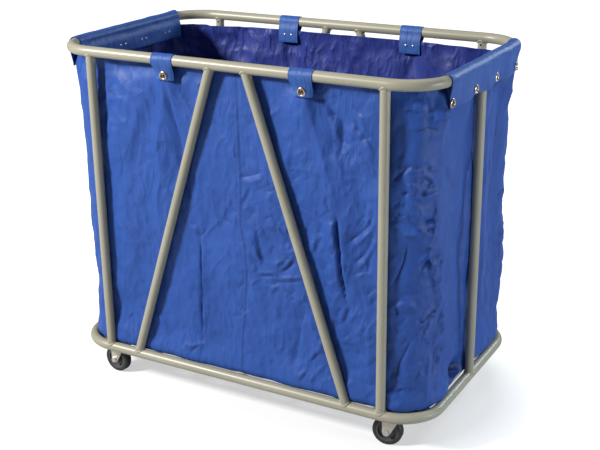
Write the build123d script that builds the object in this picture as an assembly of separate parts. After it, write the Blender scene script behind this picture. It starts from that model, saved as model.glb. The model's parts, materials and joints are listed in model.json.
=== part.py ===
from build123d import *
import os
from math import asin, atan2, cos, degrees, hypot, radians, sin

os.makedirs("parts", exist_ok=True)

# Linen trolley, in millimetres. The origin is on the floor under the middle of the frame,
# +X runs along the long side and +Z is up.

# Tube frame
rail_length = 983.5  # between the rails' centrelines, along X
rail_width = 566.0  # between the rails' centrelines, along Y
rail_corner_r = 97.5  # centreline radius of the bent corners
rail_r = 12.7
upright_r = 11.2
tube_wall = 1.5
base_rail_z = 97.5
top_rail_z = 871.0
upright_x = 385.5  # uprights of the long sides
brace_top_x = 44.3
brace_foot_x = 298.8
drain_hole_r = 2.5
drain_hole_drop = 17.0  # below the top rail's centreline

# Base
crossbar_r = 9.5
crossbar_drop = 2.0  # below the base rail's centreline
crossbar_xs = (-260.0, 0.0, 260.0)
board_length = 954.0
board_width = 537.0
board_corner_cut = 105.0
board_thick = 5.0
gusset_thick = 4.0
gusset_x = 355.0  # inner edges of the corner plates
gusset_y = 196.0

# Castors
castor_x = 396.0  # swivel axes
castor_y = 234.0
castor_height = 93.5
castor_trail = 12.0
castor_turns = {"front_left": -4.0, "front_right": 8.0, "back_left": 14.0, "back_right": -11.0}
castor_plate_size = 60.0
castor_plate_thick = 2.5
castor_plate_corner_r = 5.0
castor_bolt_pitch = 44.0
castor_bolt_r = 3.0
castor_hole_r = 3.3
bolt_flats = 10.0
bolt_head_high = 4.0
bolt_nut_high = 5.0
bolt_end = 1.5  # shank past the nut

# Swivel head: balls between a race under the plate and a race on the fork
ball_r = 2.0
ball_ring_r = 15.0
ball_count = 12
ball_rise = 2.2  # ball centres above the fork's top
race_half_gap = 0.5
upper_race_r = 21.0
upper_race_bore_r = 9.0
lower_race_r = 20.0
kingpin_r = 5.0
kingpin_clear = 0.06
kingpin_head_r = 9.0
kingpin_head_high = 2.8
kingpin_end_play = 0.1

# Fork, pressed from one sheet
fork_gap = 29.0  # between the legs
fork_sheet = 2.5
fork_top_z = 86.0
fork_top_half = 22.0  # half the top's length
fork_shoulder = 8.0  # height of the upright edge under the top
fork_bend_r = 5.0
leg_end_r = 9.5

# Wheel, axle and sleeve
wheel_r = 36.5
tyre_width = 22.0
tyre_bore_r = 27.0
tyre_shoulder_r = 5.0
hub_width = 26.6
hub_r = 11.0
web_half = 3.0
rim_inner_r = 22.5
rim_half = 10.2
axle_r = 4.0
axle_flats = 13.0
axle_head_high = 4.5
axle_nut_high = 6.0
axle_end = 1.5
bush_r = 6.0
running_gap = 0.05

# Bag
cloth = 1.5
bag_gap = 16.7  # from the rail's centreline in to the bag's outer face
bag_top_z = 850.0
bag_seam_x = 18.0
bag_floor_flange = 12.0
bag_lift = 0.3  # above the board

# Straps and end flaps wrap over the top rail, all to one section
strap_cloth = 1.2
strap_clear = 0.3  # between the cloth and the rail
strap_width = 58.0
strap_tail = 56.0  # hanging outside, below the rail's centreline
flap_tail = 60.0
inner_tail = 54.0
inner_bend_drop = 6.0  # where the inner tail leaves the rail
inner_shift_drop = 11.5  # height in which it crosses to the bag's inner face
flap_half_width = 220.0
strap_front_xs = {"left": -171.0, "right": 191.0}
strap_back_xs = {"left": -157.0, "right": 198.0}

# Press studs and rivets
snap_drop = 40.0
snap_cap_r = 8.4
snap_cap_high = 2.6
snap_recess_r = 4.6
snap_recess_floor = 1.0
snap_post_r = 2.4
snap_post_reach = 1.8  # into the socket
snap_socket_r = 6.2
snap_socket_high = 2.4
socket_gap = 0.25  # behind the cloth, which is curved on the rail's bends
flap_snap_ys = (-198.0, -66.0, 66.0, 198.0)
rivet_drop = 33.0
rivet_pitch = 20.0
rivet_r = 1.6
rivet_head_r = 3.4
rivet_head_high = 1.1
rivet_tail_r = 3.0
rivet_tail_high = 0.9
flap_rivet_ys = (-150.0, -45.0, 45.0, 150.0)

half_x = rail_length / 2
half_y = rail_width / 2
corner_x = half_x - rail_corner_r  # centres of the corner bends
corner_y = half_y - rail_corner_r
overrun = 10.0  # how far cutting tools run past what they cut
floor_level = 0.0


def rail_loop(section, z):
    """A section carried round the closed loop that both rails follow."""
    pieces = []
    for side in (-1, 1):
        pieces.append(Pos(0, side * half_y, z) * extrude(Plane.YZ * section, corner_x, both=True))
        pieces.append(Pos(side * half_x, 0, z) * extrude(Plane.XZ * section, corner_y, both=True))
    bend = revolve(Plane.XZ * Pos(rail_corner_r, 0) * section, Axis.Z, 90)
    for turn, x, y in ((0, 1, 1), (90, -1, 1), (180, -1, -1), (270, 1, -1)):
        pieces.append(Pos(x * corner_x, y * corner_y, z) * Rot(0, 0, turn) * bend)
    return Part() + pieces


def bar(start, end, radius):
    """A round bar from one point to another."""
    start = Vector(*start)
    run = Vector(*end) - start
    plane = Plane(origin=start, z_dir=run.normalized())
    return plane * Cylinder(radius, run.length, align=(Align.CENTER, Align.CENTER, Align.MIN))


def upright_bar(radius, z_low, z_high):
    """A round bar on the Z axis."""
    return bar((0, 0, z_low), (0, 0, z_high), radius)


def ring(outer, inner, z_low, z_high):
    """A flat ring about Z."""
    return upright_bar(outer, z_low, z_high) - upright_bar(inner, z_low - overrun, z_high + overrun)


def hexagon(across_flats, z_low, z_high):
    """A hexagonal prism about Z, for nuts and bolt heads."""
    outline = RegularPolygon(across_flats / 2, 6, major_radius=False)
    return Pos(0, 0, z_low) * extrude(outline, z_high - z_low)


def rounded_slab(length, width, corner, z_low, z_high):
    """A plate or block with rounded upright corners."""
    return Pos(0, 0, z_low) * extrude(RectangleRounded(length, width, corner), z_high - z_low)


def tube(start, end, radius, cutters):
    """A round tube between two points, with its ends coped to what it is welded to."""
    return bar(start, end, radius) - bar(start, end, radius - tube_wall) - cutters


def frame_parts():
    """The two rails, six uprights and four braces."""
    solid_section = Circle(rail_r)
    tube_section = solid_section - Circle(rail_r - tube_wall)
    top_bar = rail_loop(solid_section, top_rail_z)
    base_bar = rail_loop(solid_section, base_rail_z)
    made = {
        "top_rail": rail_loop(tube_section, top_rail_z),
        "base_rail": rail_loop(tube_section, base_rail_z),
    }
    rails = [top_bar, base_bar]
    drain_z = top_rail_z - drain_hole_drop
    for face, y in (("front", -half_y), ("back", half_y)):
        inward = -y / half_y
        for end, side in (("left", -1), ("right", 1)):
            x = side * upright_x
            upright = tube((x, y, base_rail_z), (x, y, top_rail_z), upright_r, rails)
            drain_end = y + inward * 2 * upright_r
            upright -= bar((x, y, drain_z), (x, drain_end, drain_z), drain_hole_r)
            made[f"upright_{face}_{end}"] = upright
            foot = (side * brace_foot_x, y, base_rail_z)
            top = (side * brace_top_x, y, top_rail_z)
            made[f"brace_{face}_{end}"] = tube(foot, top, upright_r, rails)
    for end, x in (("left", -half_x), ("right", half_x)):
        made[f"upright_end_{end}"] = tube((x, 0, base_rail_z), (x, 0, top_rail_z), upright_r, rails)
    return made, base_bar


def corner_cut_rectangle(length, width, cut):
    """A rectangle with its four corners cut off at 45 degrees."""
    x = length / 2
    y = width / 2
    quarter = ((x, y - cut), (x - cut, y))
    corners = list(quarter)
    corners += [(-px, py) for px, py in reversed(quarter)]
    corners += [(-px, -py) for px, py in quarter]
    corners += [(px, -py) for px, py in reversed(quarter)]
    return make_face(Polyline(*corners, close=True))


def bolt_places():
    """The four bolt holes of a castor plate, from its swivel axis."""
    half = castor_bolt_pitch / 2
    return [Pos(x, y, 0) for x in (-half, half) for y in (-half, half)]


def base_parts(base_bar):
    """Crossbars, the board that lies on them, and the corner plates that carry the castors."""
    crossbar_z = base_rail_z - crossbar_drop
    crossbars = []
    for x in crossbar_xs:
        crossbars.append(tube((x, -half_y, crossbar_z), (x, half_y, crossbar_z), crossbar_r, base_bar))
    board_z = crossbar_z + crossbar_r
    board_outline = corner_cut_rectangle(board_length, board_width, board_corner_cut)
    board = Pos(0, 0, board_z) * extrude(board_outline, board_thick)
    gusset_top = castor_height + gusset_thick
    inside = rounded_slab(rail_length, rail_width, rail_corner_r, castor_height, gusset_top)
    block = Box(half_x - gusset_x, half_y - gusset_y, 2 * overrun)
    gussets = []
    for x in (-1, 1):
        for y in (-1, 1):
            middle = Pos(x * (half_x + gusset_x) / 2, y * (half_y + gusset_y) / 2, castor_height)
            plate = (middle * block & inside) - base_bar
            for hole in bolt_places():
                drill = upright_bar(castor_hole_r, castor_height - overrun, gusset_top + overrun)
                plate -= Pos(x * castor_x, y * castor_y, 0) * hole * drill
            gussets.append(plate)
    made = {
        "base_crossbars": Compound(children=crossbars),
        "base_board": board,
        "corner_gussets": Compound(children=gussets),
    }
    return made, board_z + board_thick


def castor_fixed_parts():
    """What is fastened to the frame, with the swivel axis on Z and the floor at 0."""
    plate_z = castor_height - castor_plate_thick
    ball_z = fork_top_z + ball_rise
    gusset_top = castor_height + gusset_thick
    plate = rounded_slab(castor_plate_size, castor_plate_size, castor_plate_corner_r, plate_z, castor_height)
    plate += ring(upper_race_r, upper_race_bore_r, ball_z + race_half_gap, plate_z)
    plate -= Pos(0, 0, ball_z) * Torus(ball_ring_r, ball_r + running_gap)
    plate -= upright_bar(kingpin_r, plate_z - overrun, castor_height + overrun)

    head_top = fork_top_z - fork_sheet - kingpin_end_play
    kingpin = upright_bar(kingpin_head_r, head_top - kingpin_head_high, head_top)
    kingpin += upright_bar(kingpin_r, head_top - kingpin_head_high / 2, castor_height)

    balls = []
    for step in range(ball_count):
        angle = radians(360 * step / ball_count)
        balls.append(Pos(ball_ring_r * cos(angle), ball_ring_r * sin(angle), ball_z) * Sphere(ball_r))

    bolts = []
    nuts = []
    nut_top = gusset_top + bolt_nut_high
    for place in bolt_places():
        plate -= place * upright_bar(castor_hole_r, plate_z - overrun, castor_height + overrun)
        bolt = hexagon(bolt_flats, plate_z - bolt_head_high, plate_z)
        bolt += upright_bar(castor_bolt_r, plate_z - bolt_head_high / 2, nut_top + bolt_end)
        nut = hexagon(bolt_flats, gusset_top, nut_top)
        nut -= upright_bar(castor_bolt_r, gusset_top - overrun, nut_top + overrun)
        bolts.append(place * bolt)
        nuts.append(place * nut)
    return plate, kingpin, balls, bolts, nuts


def fork_leg_outline():
    """Side view of the fork: wide under its top, tapering to a round end at the axle."""
    axle_x = -castor_trail
    shoulder_z = fork_top_z - fork_shoulder
    tangents = []
    for side in (-1, 1):
        run_x = side * fork_top_half - axle_x
        run_z = shoulder_z - wheel_r
        reach = hypot(run_x, run_z)
        lean = atan2(run_z, run_x) - side * (radians(90) - asin(leg_end_r / reach))
        tangents.append((axle_x + leg_end_r * cos(lean), wheel_r + leg_end_r * sin(lean)))
    outline = Polyline(
        tangents[0],
        (-fork_top_half, shoulder_z),
        (-fork_top_half, fork_top_z),
        (fork_top_half, fork_top_z),
        (fork_top_half, shoulder_z),
        tangents[1],
        close=True,
    )
    return make_face(outline) + Pos(axle_x, wheel_r) * Circle(leg_end_r)


def bent_channel(width, top_z, bend_r):
    """A block along X with rounded upper edges, for the outside or the inside of a bent sheet."""
    block = Pos(0, 0, top_z) * Box(
        4 * fork_top_half, width, 2 * top_z, align=(Align.CENTER, Align.CENTER, Align.MAX)
    )
    return fillet(block.edges().filter_by(Axis.X).group_by(Axis.Z)[-1], bend_r)


def castor_fork():
    """The pressed fork: a channel cut to the leg outline, with the lower ball race on top."""
    fork_width = fork_gap + 2 * fork_sheet
    under_top = fork_top_z - fork_sheet
    sheet = bent_channel(fork_width, fork_top_z, fork_bend_r)
    sheet -= bent_channel(fork_gap, under_top, fork_bend_r - fork_sheet)
    fork = sheet & extrude(Plane.XZ * fork_leg_outline(), fork_width, both=True)
    ball_z = fork_top_z + ball_rise
    bore = kingpin_r + kingpin_clear
    fork += ring(lower_race_r, bore, under_top, ball_z - race_half_gap)
    fork -= Pos(0, 0, ball_z) * Torus(ball_ring_r, ball_r + running_gap)
    fork -= upright_bar(bore, under_top - overrun, ball_z + overrun)
    axle_hole = bar((-castor_trail, -fork_width, wheel_r), (-castor_trail, fork_width, wheel_r), axle_r)
    return fork - axle_hole


def on_axle(solid):
    """Lays a solid made about Z on the wheel's axle, which runs along Y."""
    return Pos(-castor_trail, 0, wheel_r) * Rot(90, 0, 0) * solid


def castor_wheel():
    """Moulded wheel centre: hub, web and rim in one piece."""
    bore = bush_r + running_gap
    half = (
        (bore, -hub_width / 2),
        (hub_r, -hub_width / 2),
        (hub_r + 1, -web_half - 1),
        (rim_inner_r, -web_half),
        (rim_inner_r + 1, -rim_half),
        (tyre_bore_r, -rim_half),
    )
    mirrored = tuple((r, -z) for r, z in reversed(half))
    face = make_face(Plane.XZ * Polyline(*(half + mirrored), close=True))
    return on_axle(revolve(face, Axis.Z, 360))


def castor_tyre():
    """Solid rubber tyre with a flat tread and rounded shoulders."""
    middle = (wheel_r + tyre_bore_r) / 2
    section = Plane.XZ * Pos(middle, 0) * Rectangle(wheel_r - tyre_bore_r, tyre_width)
    section = fillet(section.vertices().group_by(Axis.X)[-1], tyre_shoulder_r)
    return on_axle(revolve(section, Axis.Z, 360))


def castor_axle_parts():
    """Hexagon bolt, nut and the sleeve that the wheel turns on."""
    leg_face = fork_gap / 2 + fork_sheet
    nut_face = -leg_face - axle_nut_high
    axle = hexagon(axle_flats, leg_face, leg_face + axle_head_high)
    axle += upright_bar(axle_r, nut_face - axle_end, leg_face + axle_head_high / 2)
    nut = hexagon(axle_flats, nut_face, -leg_face)
    nut -= upright_bar(axle_r, nut_face - overrun, -leg_face + overrun)
    bush = ring(bush_r, axle_r, -fork_gap / 2, fork_gap / 2)
    return on_axle(axle), on_axle(nut), on_axle(bush)


def castor_parts():
    """All four castors, each standing at its own turn."""
    plate, kingpin, balls, bolts, nuts = castor_fixed_parts()
    axle, axle_nut, bush = castor_axle_parts()
    turning = {
        "fork": castor_fork(),
        "axle": axle,
        "axle_nut": axle_nut,
        "axle_bush": bush,
        "wheel": castor_wheel(),
        "tyre": castor_tyre(),
    }
    fixed = {
        "castor_plates": [plate],
        "castor_kingpins": [kingpin],
        "swivel_balls": balls,
        "castor_bolts": bolts,
        "castor_nuts": nuts,
    }
    made = {}
    corners = []
    for name, turn in castor_turns.items():
        x = castor_x if name.endswith("right") else -castor_x
        y = castor_y if name.startswith("back") else -castor_y
        corner = Pos(x, y, floor_level)
        corners.append(corner)
        for piece, solid in turning.items():
            made[f"{piece}_{name}"] = corner * Rot(0, 0, turn) * solid
    for name, solids in fixed.items():
        made[name] = Compound(children=[corner * solid for corner in corners for solid in solids])
    return made


def strap_section(tail):
    """Section of a strap across the rail: first outward from the rail's centreline, then up."""
    near = rail_r + strap_clear
    far = near + strap_cloth
    wall = bag_gap + cloth  # the bag's inner face, where the inner tail lies
    shift_end = inner_bend_drop + inner_shift_drop
    upper_half = Pos(0, far) * Rectangle(4 * far, 2 * far)
    wrap = (Circle(far) - Circle(near)) & upper_half
    outer = Pos((near + far) / 2, -tail / 2) * Rectangle(strap_cloth, tail)
    inner = Polyline(
        (-near, 0),
        (-near, -inner_bend_drop),
        (-wall, -shift_end),
        (-wall, -inner_tail),
        (-wall - strap_cloth, -inner_tail),
        (-wall - strap_cloth, -shift_end),
        (-far, -inner_bend_drop),
        (-far, 0),
        close=True,
    )
    return wrap + outer + make_face(inner)


def rail_place(side, along):
    """A point of the top rail with its first axis pointing outward.

    side is front, back, left or right, and along is the distance from that side's middle,
    in X on the long sides and in Y on the ends. Past the straight run it follows the bend.
    """
    if side in ("front", "back"):
        y = -half_y if side == "front" else half_y
        return Pos(along, y, top_rail_z) * Rot(0, 0, -90 if side == "front" else 90)
    end = Pos(0, 0, top_rail_z) * Rot(0, 0, 0 if side == "right" else 180)
    along_end = along if side == "right" else -along
    past = abs(along_end) - corner_y
    if past <= 0:
        return end * Pos(half_x, along_end, 0)
    sign = 1 if along_end > 0 else -1
    bend = sign * degrees(asin(past / rail_corner_r))
    return end * Pos(corner_x, sign * corner_y, 0) * Rot(0, 0, bend) * Pos(rail_corner_r, 0, 0)


def outward_bar(place, start, end, radius, drop):
    """A round bar that runs outward through the cloth at a place on the rail."""
    return place * bar((start, 0, -drop), (end, 0, -drop), radius)


def press_stud(place):
    """One press stud: the ring cap outside the cloth and the socket behind it."""
    near = rail_r + strap_clear
    far = near + strap_cloth
    back = near - socket_gap
    post_end = back - snap_post_reach
    recess = far + snap_recess_floor
    cap = outward_bar(place, far, far + snap_cap_high, snap_cap_r, snap_drop)
    cap -= outward_bar(place, recess, recess + overrun, snap_recess_r, snap_drop)
    cap += outward_bar(place, post_end, recess, snap_post_r, snap_drop)
    socket = outward_bar(place, back - snap_socket_high, back, snap_socket_r, snap_drop)
    socket -= outward_bar(place, post_end, back + overrun, snap_post_r, snap_drop)
    hole = outward_bar(place, near - overrun, far + overrun, snap_post_r, snap_drop)
    return cap, socket, hole


def rivet_piece(place):
    """One tubular rivet through the inner tail and the bag."""
    head = -(bag_gap + cloth + strap_cloth)
    tail = -bag_gap
    rivet = outward_bar(place, head - rivet_head_high, head, rivet_head_r, rivet_drop)
    rivet += outward_bar(place, head - rivet_head_high / 2, tail + rivet_tail_high / 2, rivet_r, rivet_drop)
    rivet += outward_bar(place, tail, tail + rivet_tail_high, rivet_tail_r, rivet_drop)
    hole = outward_bar(place, head - overrun, tail + overrun, rivet_r, rivet_drop)
    return rivet, hole


def fasten(piece, side, stud_places, rivet_places):
    """Sets studs and pairs of rivets in a strap or flap. Gives it back with the pieces."""
    caps = []
    sockets = []
    rivets = []
    rivet_holes = []
    for along in stud_places:
        cap, socket, hole = press_stud(rail_place(side, along))
        piece -= hole
        caps.append(cap)
        sockets.append(socket)
    for along in rivet_places:
        for offset in (-rivet_pitch / 2, rivet_pitch / 2):
            rivet, hole = rivet_piece(rail_place(side, along + offset))
            piece -= hole
            rivets.append(rivet)
            rivet_holes.append(hole)
    return piece, caps, sockets, rivets, rivet_holes


def end_flap():
    """The flap over an end rail: straight in the middle and following the bends at both ends."""
    face = Plane.XZ * strap_section(flap_tail)
    flap = extrude(face, corner_y, both=True)
    bend = degrees(asin((flap_half_width - corner_y) / rail_corner_r))
    for sign in (-1, 1):
        turned = revolve(Pos(rail_corner_r, 0, 0) * face, Axis.Z, sign * bend)
        flap += Pos(-rail_corner_r, sign * corner_y, 0) * turned
    return flap


def bag_parts(floor_z):
    """The cloth bag in two wrapped halves and a floor, with its straps, flaps and fasteners."""
    length = rail_length - 2 * bag_gap
    width = rail_width - 2 * bag_gap
    corner = rail_corner_r - bag_gap
    inset = 2 * bag_floor_flange
    inner_top = bag_top_z + overrun
    inner_length = length - 2 * cloth
    inner_width = width - 2 * cloth
    walls = rounded_slab(length, width, corner, floor_z, bag_top_z)
    walls -= rounded_slab(inner_length, inner_width, corner - cloth, floor_z + cloth, inner_top)
    floor = rounded_slab(length - inset, width - inset, corner - bag_floor_flange, floor_z, floor_z + cloth)
    walls -= floor
    made = {"bag_floor": floor}

    strap = extrude(Plane.XZ * strap_section(strap_tail), strap_width / 2, both=True)
    groups = {
        "strap": {"snap_caps": [], "snap_sockets": [], "rivets": []},
        "flap": {"snap_caps": [], "snap_sockets": [], "rivets": []},
    }
    wraps = []
    for side, xs in (("front", strap_front_xs), ("back", strap_back_xs)):
        for end, x in xs.items():
            piece = rail_place(side, x) * strap
            wraps.append(("strap", f"strap_{side}_{end}", piece, side, (x,), (x,)))
    flap = end_flap()
    for side in ("left", "right"):
        piece = rail_place(side, 0) * flap
        wraps.append(("flap", f"end_flap_{side}", piece, side, flap_snap_ys, flap_rivet_ys))
    for kind, name, piece, side, studs, rivet_pairs in wraps:
        piece, caps, sockets, rivets, rivet_holes = fasten(piece, side, studs, rivet_pairs)
        walls -= rivet_holes
        made[name] = piece
        groups[kind]["snap_caps"] += caps
        groups[kind]["snap_sockets"] += sockets
        groups[kind]["rivets"] += rivets
    for kind, pieces in groups.items():
        for name, solids in pieces.items():
            made[f"{kind}_{name}"] = Compound(children=solids)

    reach = rail_length
    for end, x_low, x_high in (("left", -reach, bag_seam_x), ("right", bag_seam_x, reach)):
        half = Pos((x_low + x_high) / 2, 0, bag_top_z / 2) * Box(x_high - x_low, reach, 2 * bag_top_z)
        made[f"bag_{end}_half"] = walls & half
    return made


parts, base_bar = frame_parts()
base, board_top = base_parts(base_bar)
parts.update(base)
parts.update(castor_parts())
parts.update(bag_parts(board_top + bag_lift))

for name, shape in parts.items():
    export_step(shape, f"parts/{name}.step")
print(len(parts), "nodes written")
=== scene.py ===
import json
import random
from math import asin, atan2, cos, exp, hypot, pi, radians, sin, sqrt

import bmesh
import bpy
from mathutils import Matrix, Vector, noise

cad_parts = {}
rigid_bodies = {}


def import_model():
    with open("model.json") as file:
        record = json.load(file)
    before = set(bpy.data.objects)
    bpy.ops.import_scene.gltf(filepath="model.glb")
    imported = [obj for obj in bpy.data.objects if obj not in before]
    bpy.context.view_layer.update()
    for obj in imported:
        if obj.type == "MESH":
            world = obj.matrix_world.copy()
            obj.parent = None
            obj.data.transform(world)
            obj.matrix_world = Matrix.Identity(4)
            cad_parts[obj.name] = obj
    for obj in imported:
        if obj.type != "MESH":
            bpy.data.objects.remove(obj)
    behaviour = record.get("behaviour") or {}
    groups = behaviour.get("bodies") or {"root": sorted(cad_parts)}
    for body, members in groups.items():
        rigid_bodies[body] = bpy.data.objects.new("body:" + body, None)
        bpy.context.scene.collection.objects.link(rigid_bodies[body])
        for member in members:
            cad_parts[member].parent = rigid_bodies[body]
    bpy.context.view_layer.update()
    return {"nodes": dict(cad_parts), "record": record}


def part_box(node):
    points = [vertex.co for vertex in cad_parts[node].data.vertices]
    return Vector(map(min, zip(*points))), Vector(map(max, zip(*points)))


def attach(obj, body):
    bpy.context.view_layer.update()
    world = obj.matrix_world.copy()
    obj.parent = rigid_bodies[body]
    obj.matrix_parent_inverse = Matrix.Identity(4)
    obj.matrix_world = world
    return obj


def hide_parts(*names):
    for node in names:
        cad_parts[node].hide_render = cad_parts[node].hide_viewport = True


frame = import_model()
nodes = frame["nodes"]
print("frame loaded:", len(nodes), "nodes")


def middle(node):
    low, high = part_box(node)
    return (low + high) / 2


railLow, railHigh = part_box("top_rail")
rail = {
    "radius": (railHigh.z - railLow.z) / 2,
    "z": (railHigh.z + railLow.z) / 2,
    "baseZ": middle("base_rail").z,
    "bend": 0.0975,  # centreline radius of the corner bends
}
rail["halfX"] = railHigh.x - rail["radius"]
rail["halfY"] = railHigh.y - rail["radius"]
rail["cornerX"] = rail["halfX"] - rail["bend"]
rail["cornerY"] = rail["halfY"] - rail["bend"]
ends = {"left": -1, "right": 1}
sides = {"front": -1, "back": 1}


def deselectAll():
    for obj in list(bpy.context.selected_objects):
        obj.select_set(False)
    bpy.context.view_layer.objects.active = None


def pick(obj):
    deselectAll()
    obj.select_set(True)
    bpy.context.view_layer.objects.active = obj
    return obj


def startEdit(obj):
    pick(obj)
    bpy.ops.object.mode_set(mode="EDIT")
    return bmesh.from_edit_mesh(obj.data)


def stopEdit():
    bpy.ops.object.mode_set(mode="OBJECT")


def added(name):
    obj = bpy.context.active_object
    obj.name = name
    obj.data.name = name
    return obj


def applyPlace(obj):
    pick(obj)
    bpy.ops.object.transform_apply(location=True, rotation=True, scale=True)
    return obj


def applyModifiers(obj):
    pick(obj)
    for modifier in list(obj.modifiers):
        bpy.ops.object.modifier_apply(modifier=modifier.name)
    return obj


def smooth(obj, angle=35):
    pick(obj)
    bpy.ops.object.shade_smooth_by_angle(angle=radians(angle))
    return obj


def joined(name, pieces):
    deselectAll()
    for piece in pieces:
        piece.select_set(True)
    bpy.context.view_layer.objects.active = pieces[0]
    bpy.ops.object.join()
    return added(name)


def finished(obj, material, body="frame"):
    if material is not None:
        obj.data.materials.clear()
        obj.data.materials.append(material)
    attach(obj, body)
    return obj


def fade(value, low, high):
    share = min(max((value - low) / (high - low), 0.0), 1.0)
    return share * share * (3 - 2 * share)


def newGroup(name, inputs, outputs):
    group = bpy.data.node_groups.new(name, "ShaderNodeTree")
    for label, kind, value in inputs:
        socket = group.interface.new_socket(name=label, in_out="INPUT", socket_type=kind)
        socket.default_value = value
    for label, kind in outputs:
        group.interface.new_socket(name=label, in_out="OUTPUT", socket_type=kind)
    start = group.nodes.new("NodeGroupInput")
    end = group.nodes.new("NodeGroupOutput")
    return group, start, end


def addNode(tree, kind, **settings):
    node = tree.nodes.new(kind)
    for key, value in settings.items():
        setattr(node, key, value)
    return node


def mathNode(tree, operation, first, second=None):
    node = addNode(tree, "ShaderNodeMath", operation=operation)
    for socket, value in zip(node.inputs, (first, second)):
        if value is None:
            continue
        if isinstance(value, bpy.types.NodeSocket):
            tree.links.new(value, socket)
        else:
            socket.default_value = value
    return node.outputs[0]


def rampNode(tree, value, low, high, side="From"):
    # Maps low..high to 0..1, or with side "To" the other way round.
    node = addNode(tree, "ShaderNodeMapRange", clamp=True)
    node.inputs[side + " Min"].default_value = low
    node.inputs[side + " Max"].default_value = high
    tree.links.new(value, node.inputs["Value"])
    return node.outputs["Result"]


def makeGrainGroup():
    # Three sizes of mottling on Object coordinates: a tint mask, fine specks and a height.
    group, start, end = newGroup(
        "mottle",
        [("Scale", "NodeSocketFloat", 200.0), ("Patch Scale", "NodeSocketFloat", 9.0)],
        [("Patches", "NodeSocketFloat"), ("Specks", "NodeSocketFloat"), ("Height", "NodeSocketFloat")],
    )
    place = addNode(group, "ShaderNodeTexCoord")
    for label, output, detail in (("Scale", "Height", 3.0), ("Patch Scale", "Patches", 4.0)):
        grain = addNode(group, "ShaderNodeTexNoise")
        grain.inputs["Detail"].default_value = detail
        group.links.new(place.outputs["Object"], grain.inputs["Vector"])
        group.links.new(start.outputs[label], grain.inputs["Scale"])
        group.links.new(grain.outputs["Fac"], end.inputs[output])
    specks = addNode(group, "ShaderNodeTexVoronoi")
    group.links.new(place.outputs["Object"], specks.inputs["Vector"])
    group.links.new(start.outputs["Scale"], specks.inputs["Scale"])
    group.links.new(rampNode(group, specks.outputs["Distance"], 0.25, 0.05), end.inputs["Specks"])
    return group


def makeWeaveGroup():
    # Plain weave on a UV map in metres: warp and weft threads that pass over and under each other.
    group, start, end = newGroup(
        "weave",
        [("Threads", "NodeSocketFloat", 2200.0)],
        [("Height", "NodeSocketFloat"), ("Thread Mask", "NodeSocketFloat")],
    )
    place = addNode(group, "ShaderNodeUVMap", uv_map="cloth")
    split = addNode(group, "ShaderNodeSeparateXYZ")
    group.links.new(place.outputs["UV"], split.inputs[0])
    waves = []
    for axis in ("X", "Y"):
        turned = mathNode(group, "MULTIPLY", split.outputs[axis], start.outputs["Threads"])
        waves.append(mathNode(group, "SINE", mathNode(group, "MULTIPLY", turned, pi)))
    crossed = mathNode(group, "MULTIPLY", waves[0], waves[1])
    height = mathNode(group, "ABSOLUTE", crossed)
    group.links.new(height, end.inputs["Height"])
    group.links.new(rampNode(group, crossed, -0.4, 0.4), end.inputs["Thread Mask"])
    return group


def makeCreaseGroup():
    # Fine creases of thin taffeta: two sets of sharp ridges that cross, bent by a slow noise.
    inputs = (("Scale", "NodeSocketFloat", 14.0),)
    outputs = (("Lines", "NodeSocketFloat"), ("Height", "NodeSocketFloat"))
    group, start, end = newGroup("creases", inputs, outputs)
    place = addNode(group, "ShaderNodeUVMap", uv_map="cloth")
    bend = addNode(group, "ShaderNodeTexNoise")
    bend.inputs["Scale"].default_value = 7.0
    bend.inputs["Detail"].default_value = 2.0
    group.links.new(place.outputs["UV"], bend.inputs["Vector"])
    shift = addNode(group, "ShaderNodeVectorMath", operation="MULTIPLY_ADD")
    group.links.new(bend.outputs["Color"], shift.inputs[0])
    shift.inputs[1].default_value = (0.06, 0.06, 0.0)
    group.links.new(place.outputs["UV"], shift.inputs[2])
    sets = []
    for turn, stretch in ((0.8, (1.0, 0.5, 1.0)), (-0.7, (1.25, 0.55, 1.0))):
        laid = addNode(group, "ShaderNodeMapping")
        laid.inputs["Rotation"].default_value = (0, 0, turn)
        laid.inputs["Scale"].default_value = stretch
        group.links.new(shift.outputs[0], laid.inputs["Vector"])
        ridge = addNode(group, "ShaderNodeTexNoise", noise_type="RIDGED_MULTIFRACTAL", normalize=False)
        ridge.inputs["Detail"].default_value = 3.0
        ridge.inputs["Roughness"].default_value = 0.42
        ridge.inputs["Lacunarity"].default_value = 2.2
        ridge.inputs["Offset"].default_value = 0.85
        ridge.inputs["Gain"].default_value = 1.6
        group.links.new(start.outputs["Scale"], ridge.inputs["Scale"])
        group.links.new(laid.outputs["Vector"], ridge.inputs["Vector"])
        sets.append(ridge.outputs[0])
    where = addNode(group, "ShaderNodeTexNoise")
    where.inputs["Scale"].default_value = 5.0
    where.inputs["Detail"].default_value = 1.0
    group.links.new(place.outputs["UV"], where.inputs["Vector"])
    gate = rampNode(group, where.outputs["Fac"], 0.35, 0.62)
    second = mathNode(group, "MULTIPLY", sets[1], gate)
    height = mathNode(group, "ADD", mathNode(group, "MULTIPLY", sets[0], 0.6), second)
    group.links.new(height, end.inputs["Height"])
    group.links.new(rampNode(group, height, 0.8, 1.8), end.inputs["Lines"])
    return group


grainGroup = makeGrainGroup()
weaveGroup = makeWeaveGroup()
creaseGroup = makeCreaseGroup()


def newMaterial(name):
    material = bpy.data.materials.new(name)
    material.use_nodes = True
    tree = material.node_tree
    return material, tree, tree.nodes["Principled BSDF"]


def useGroup(tree, group, **values):
    node = addNode(tree, "ShaderNodeGroup", node_tree=group)
    for key, value in values.items():
        node.inputs[key.replace("_", " ")].default_value = value
    return node


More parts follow.
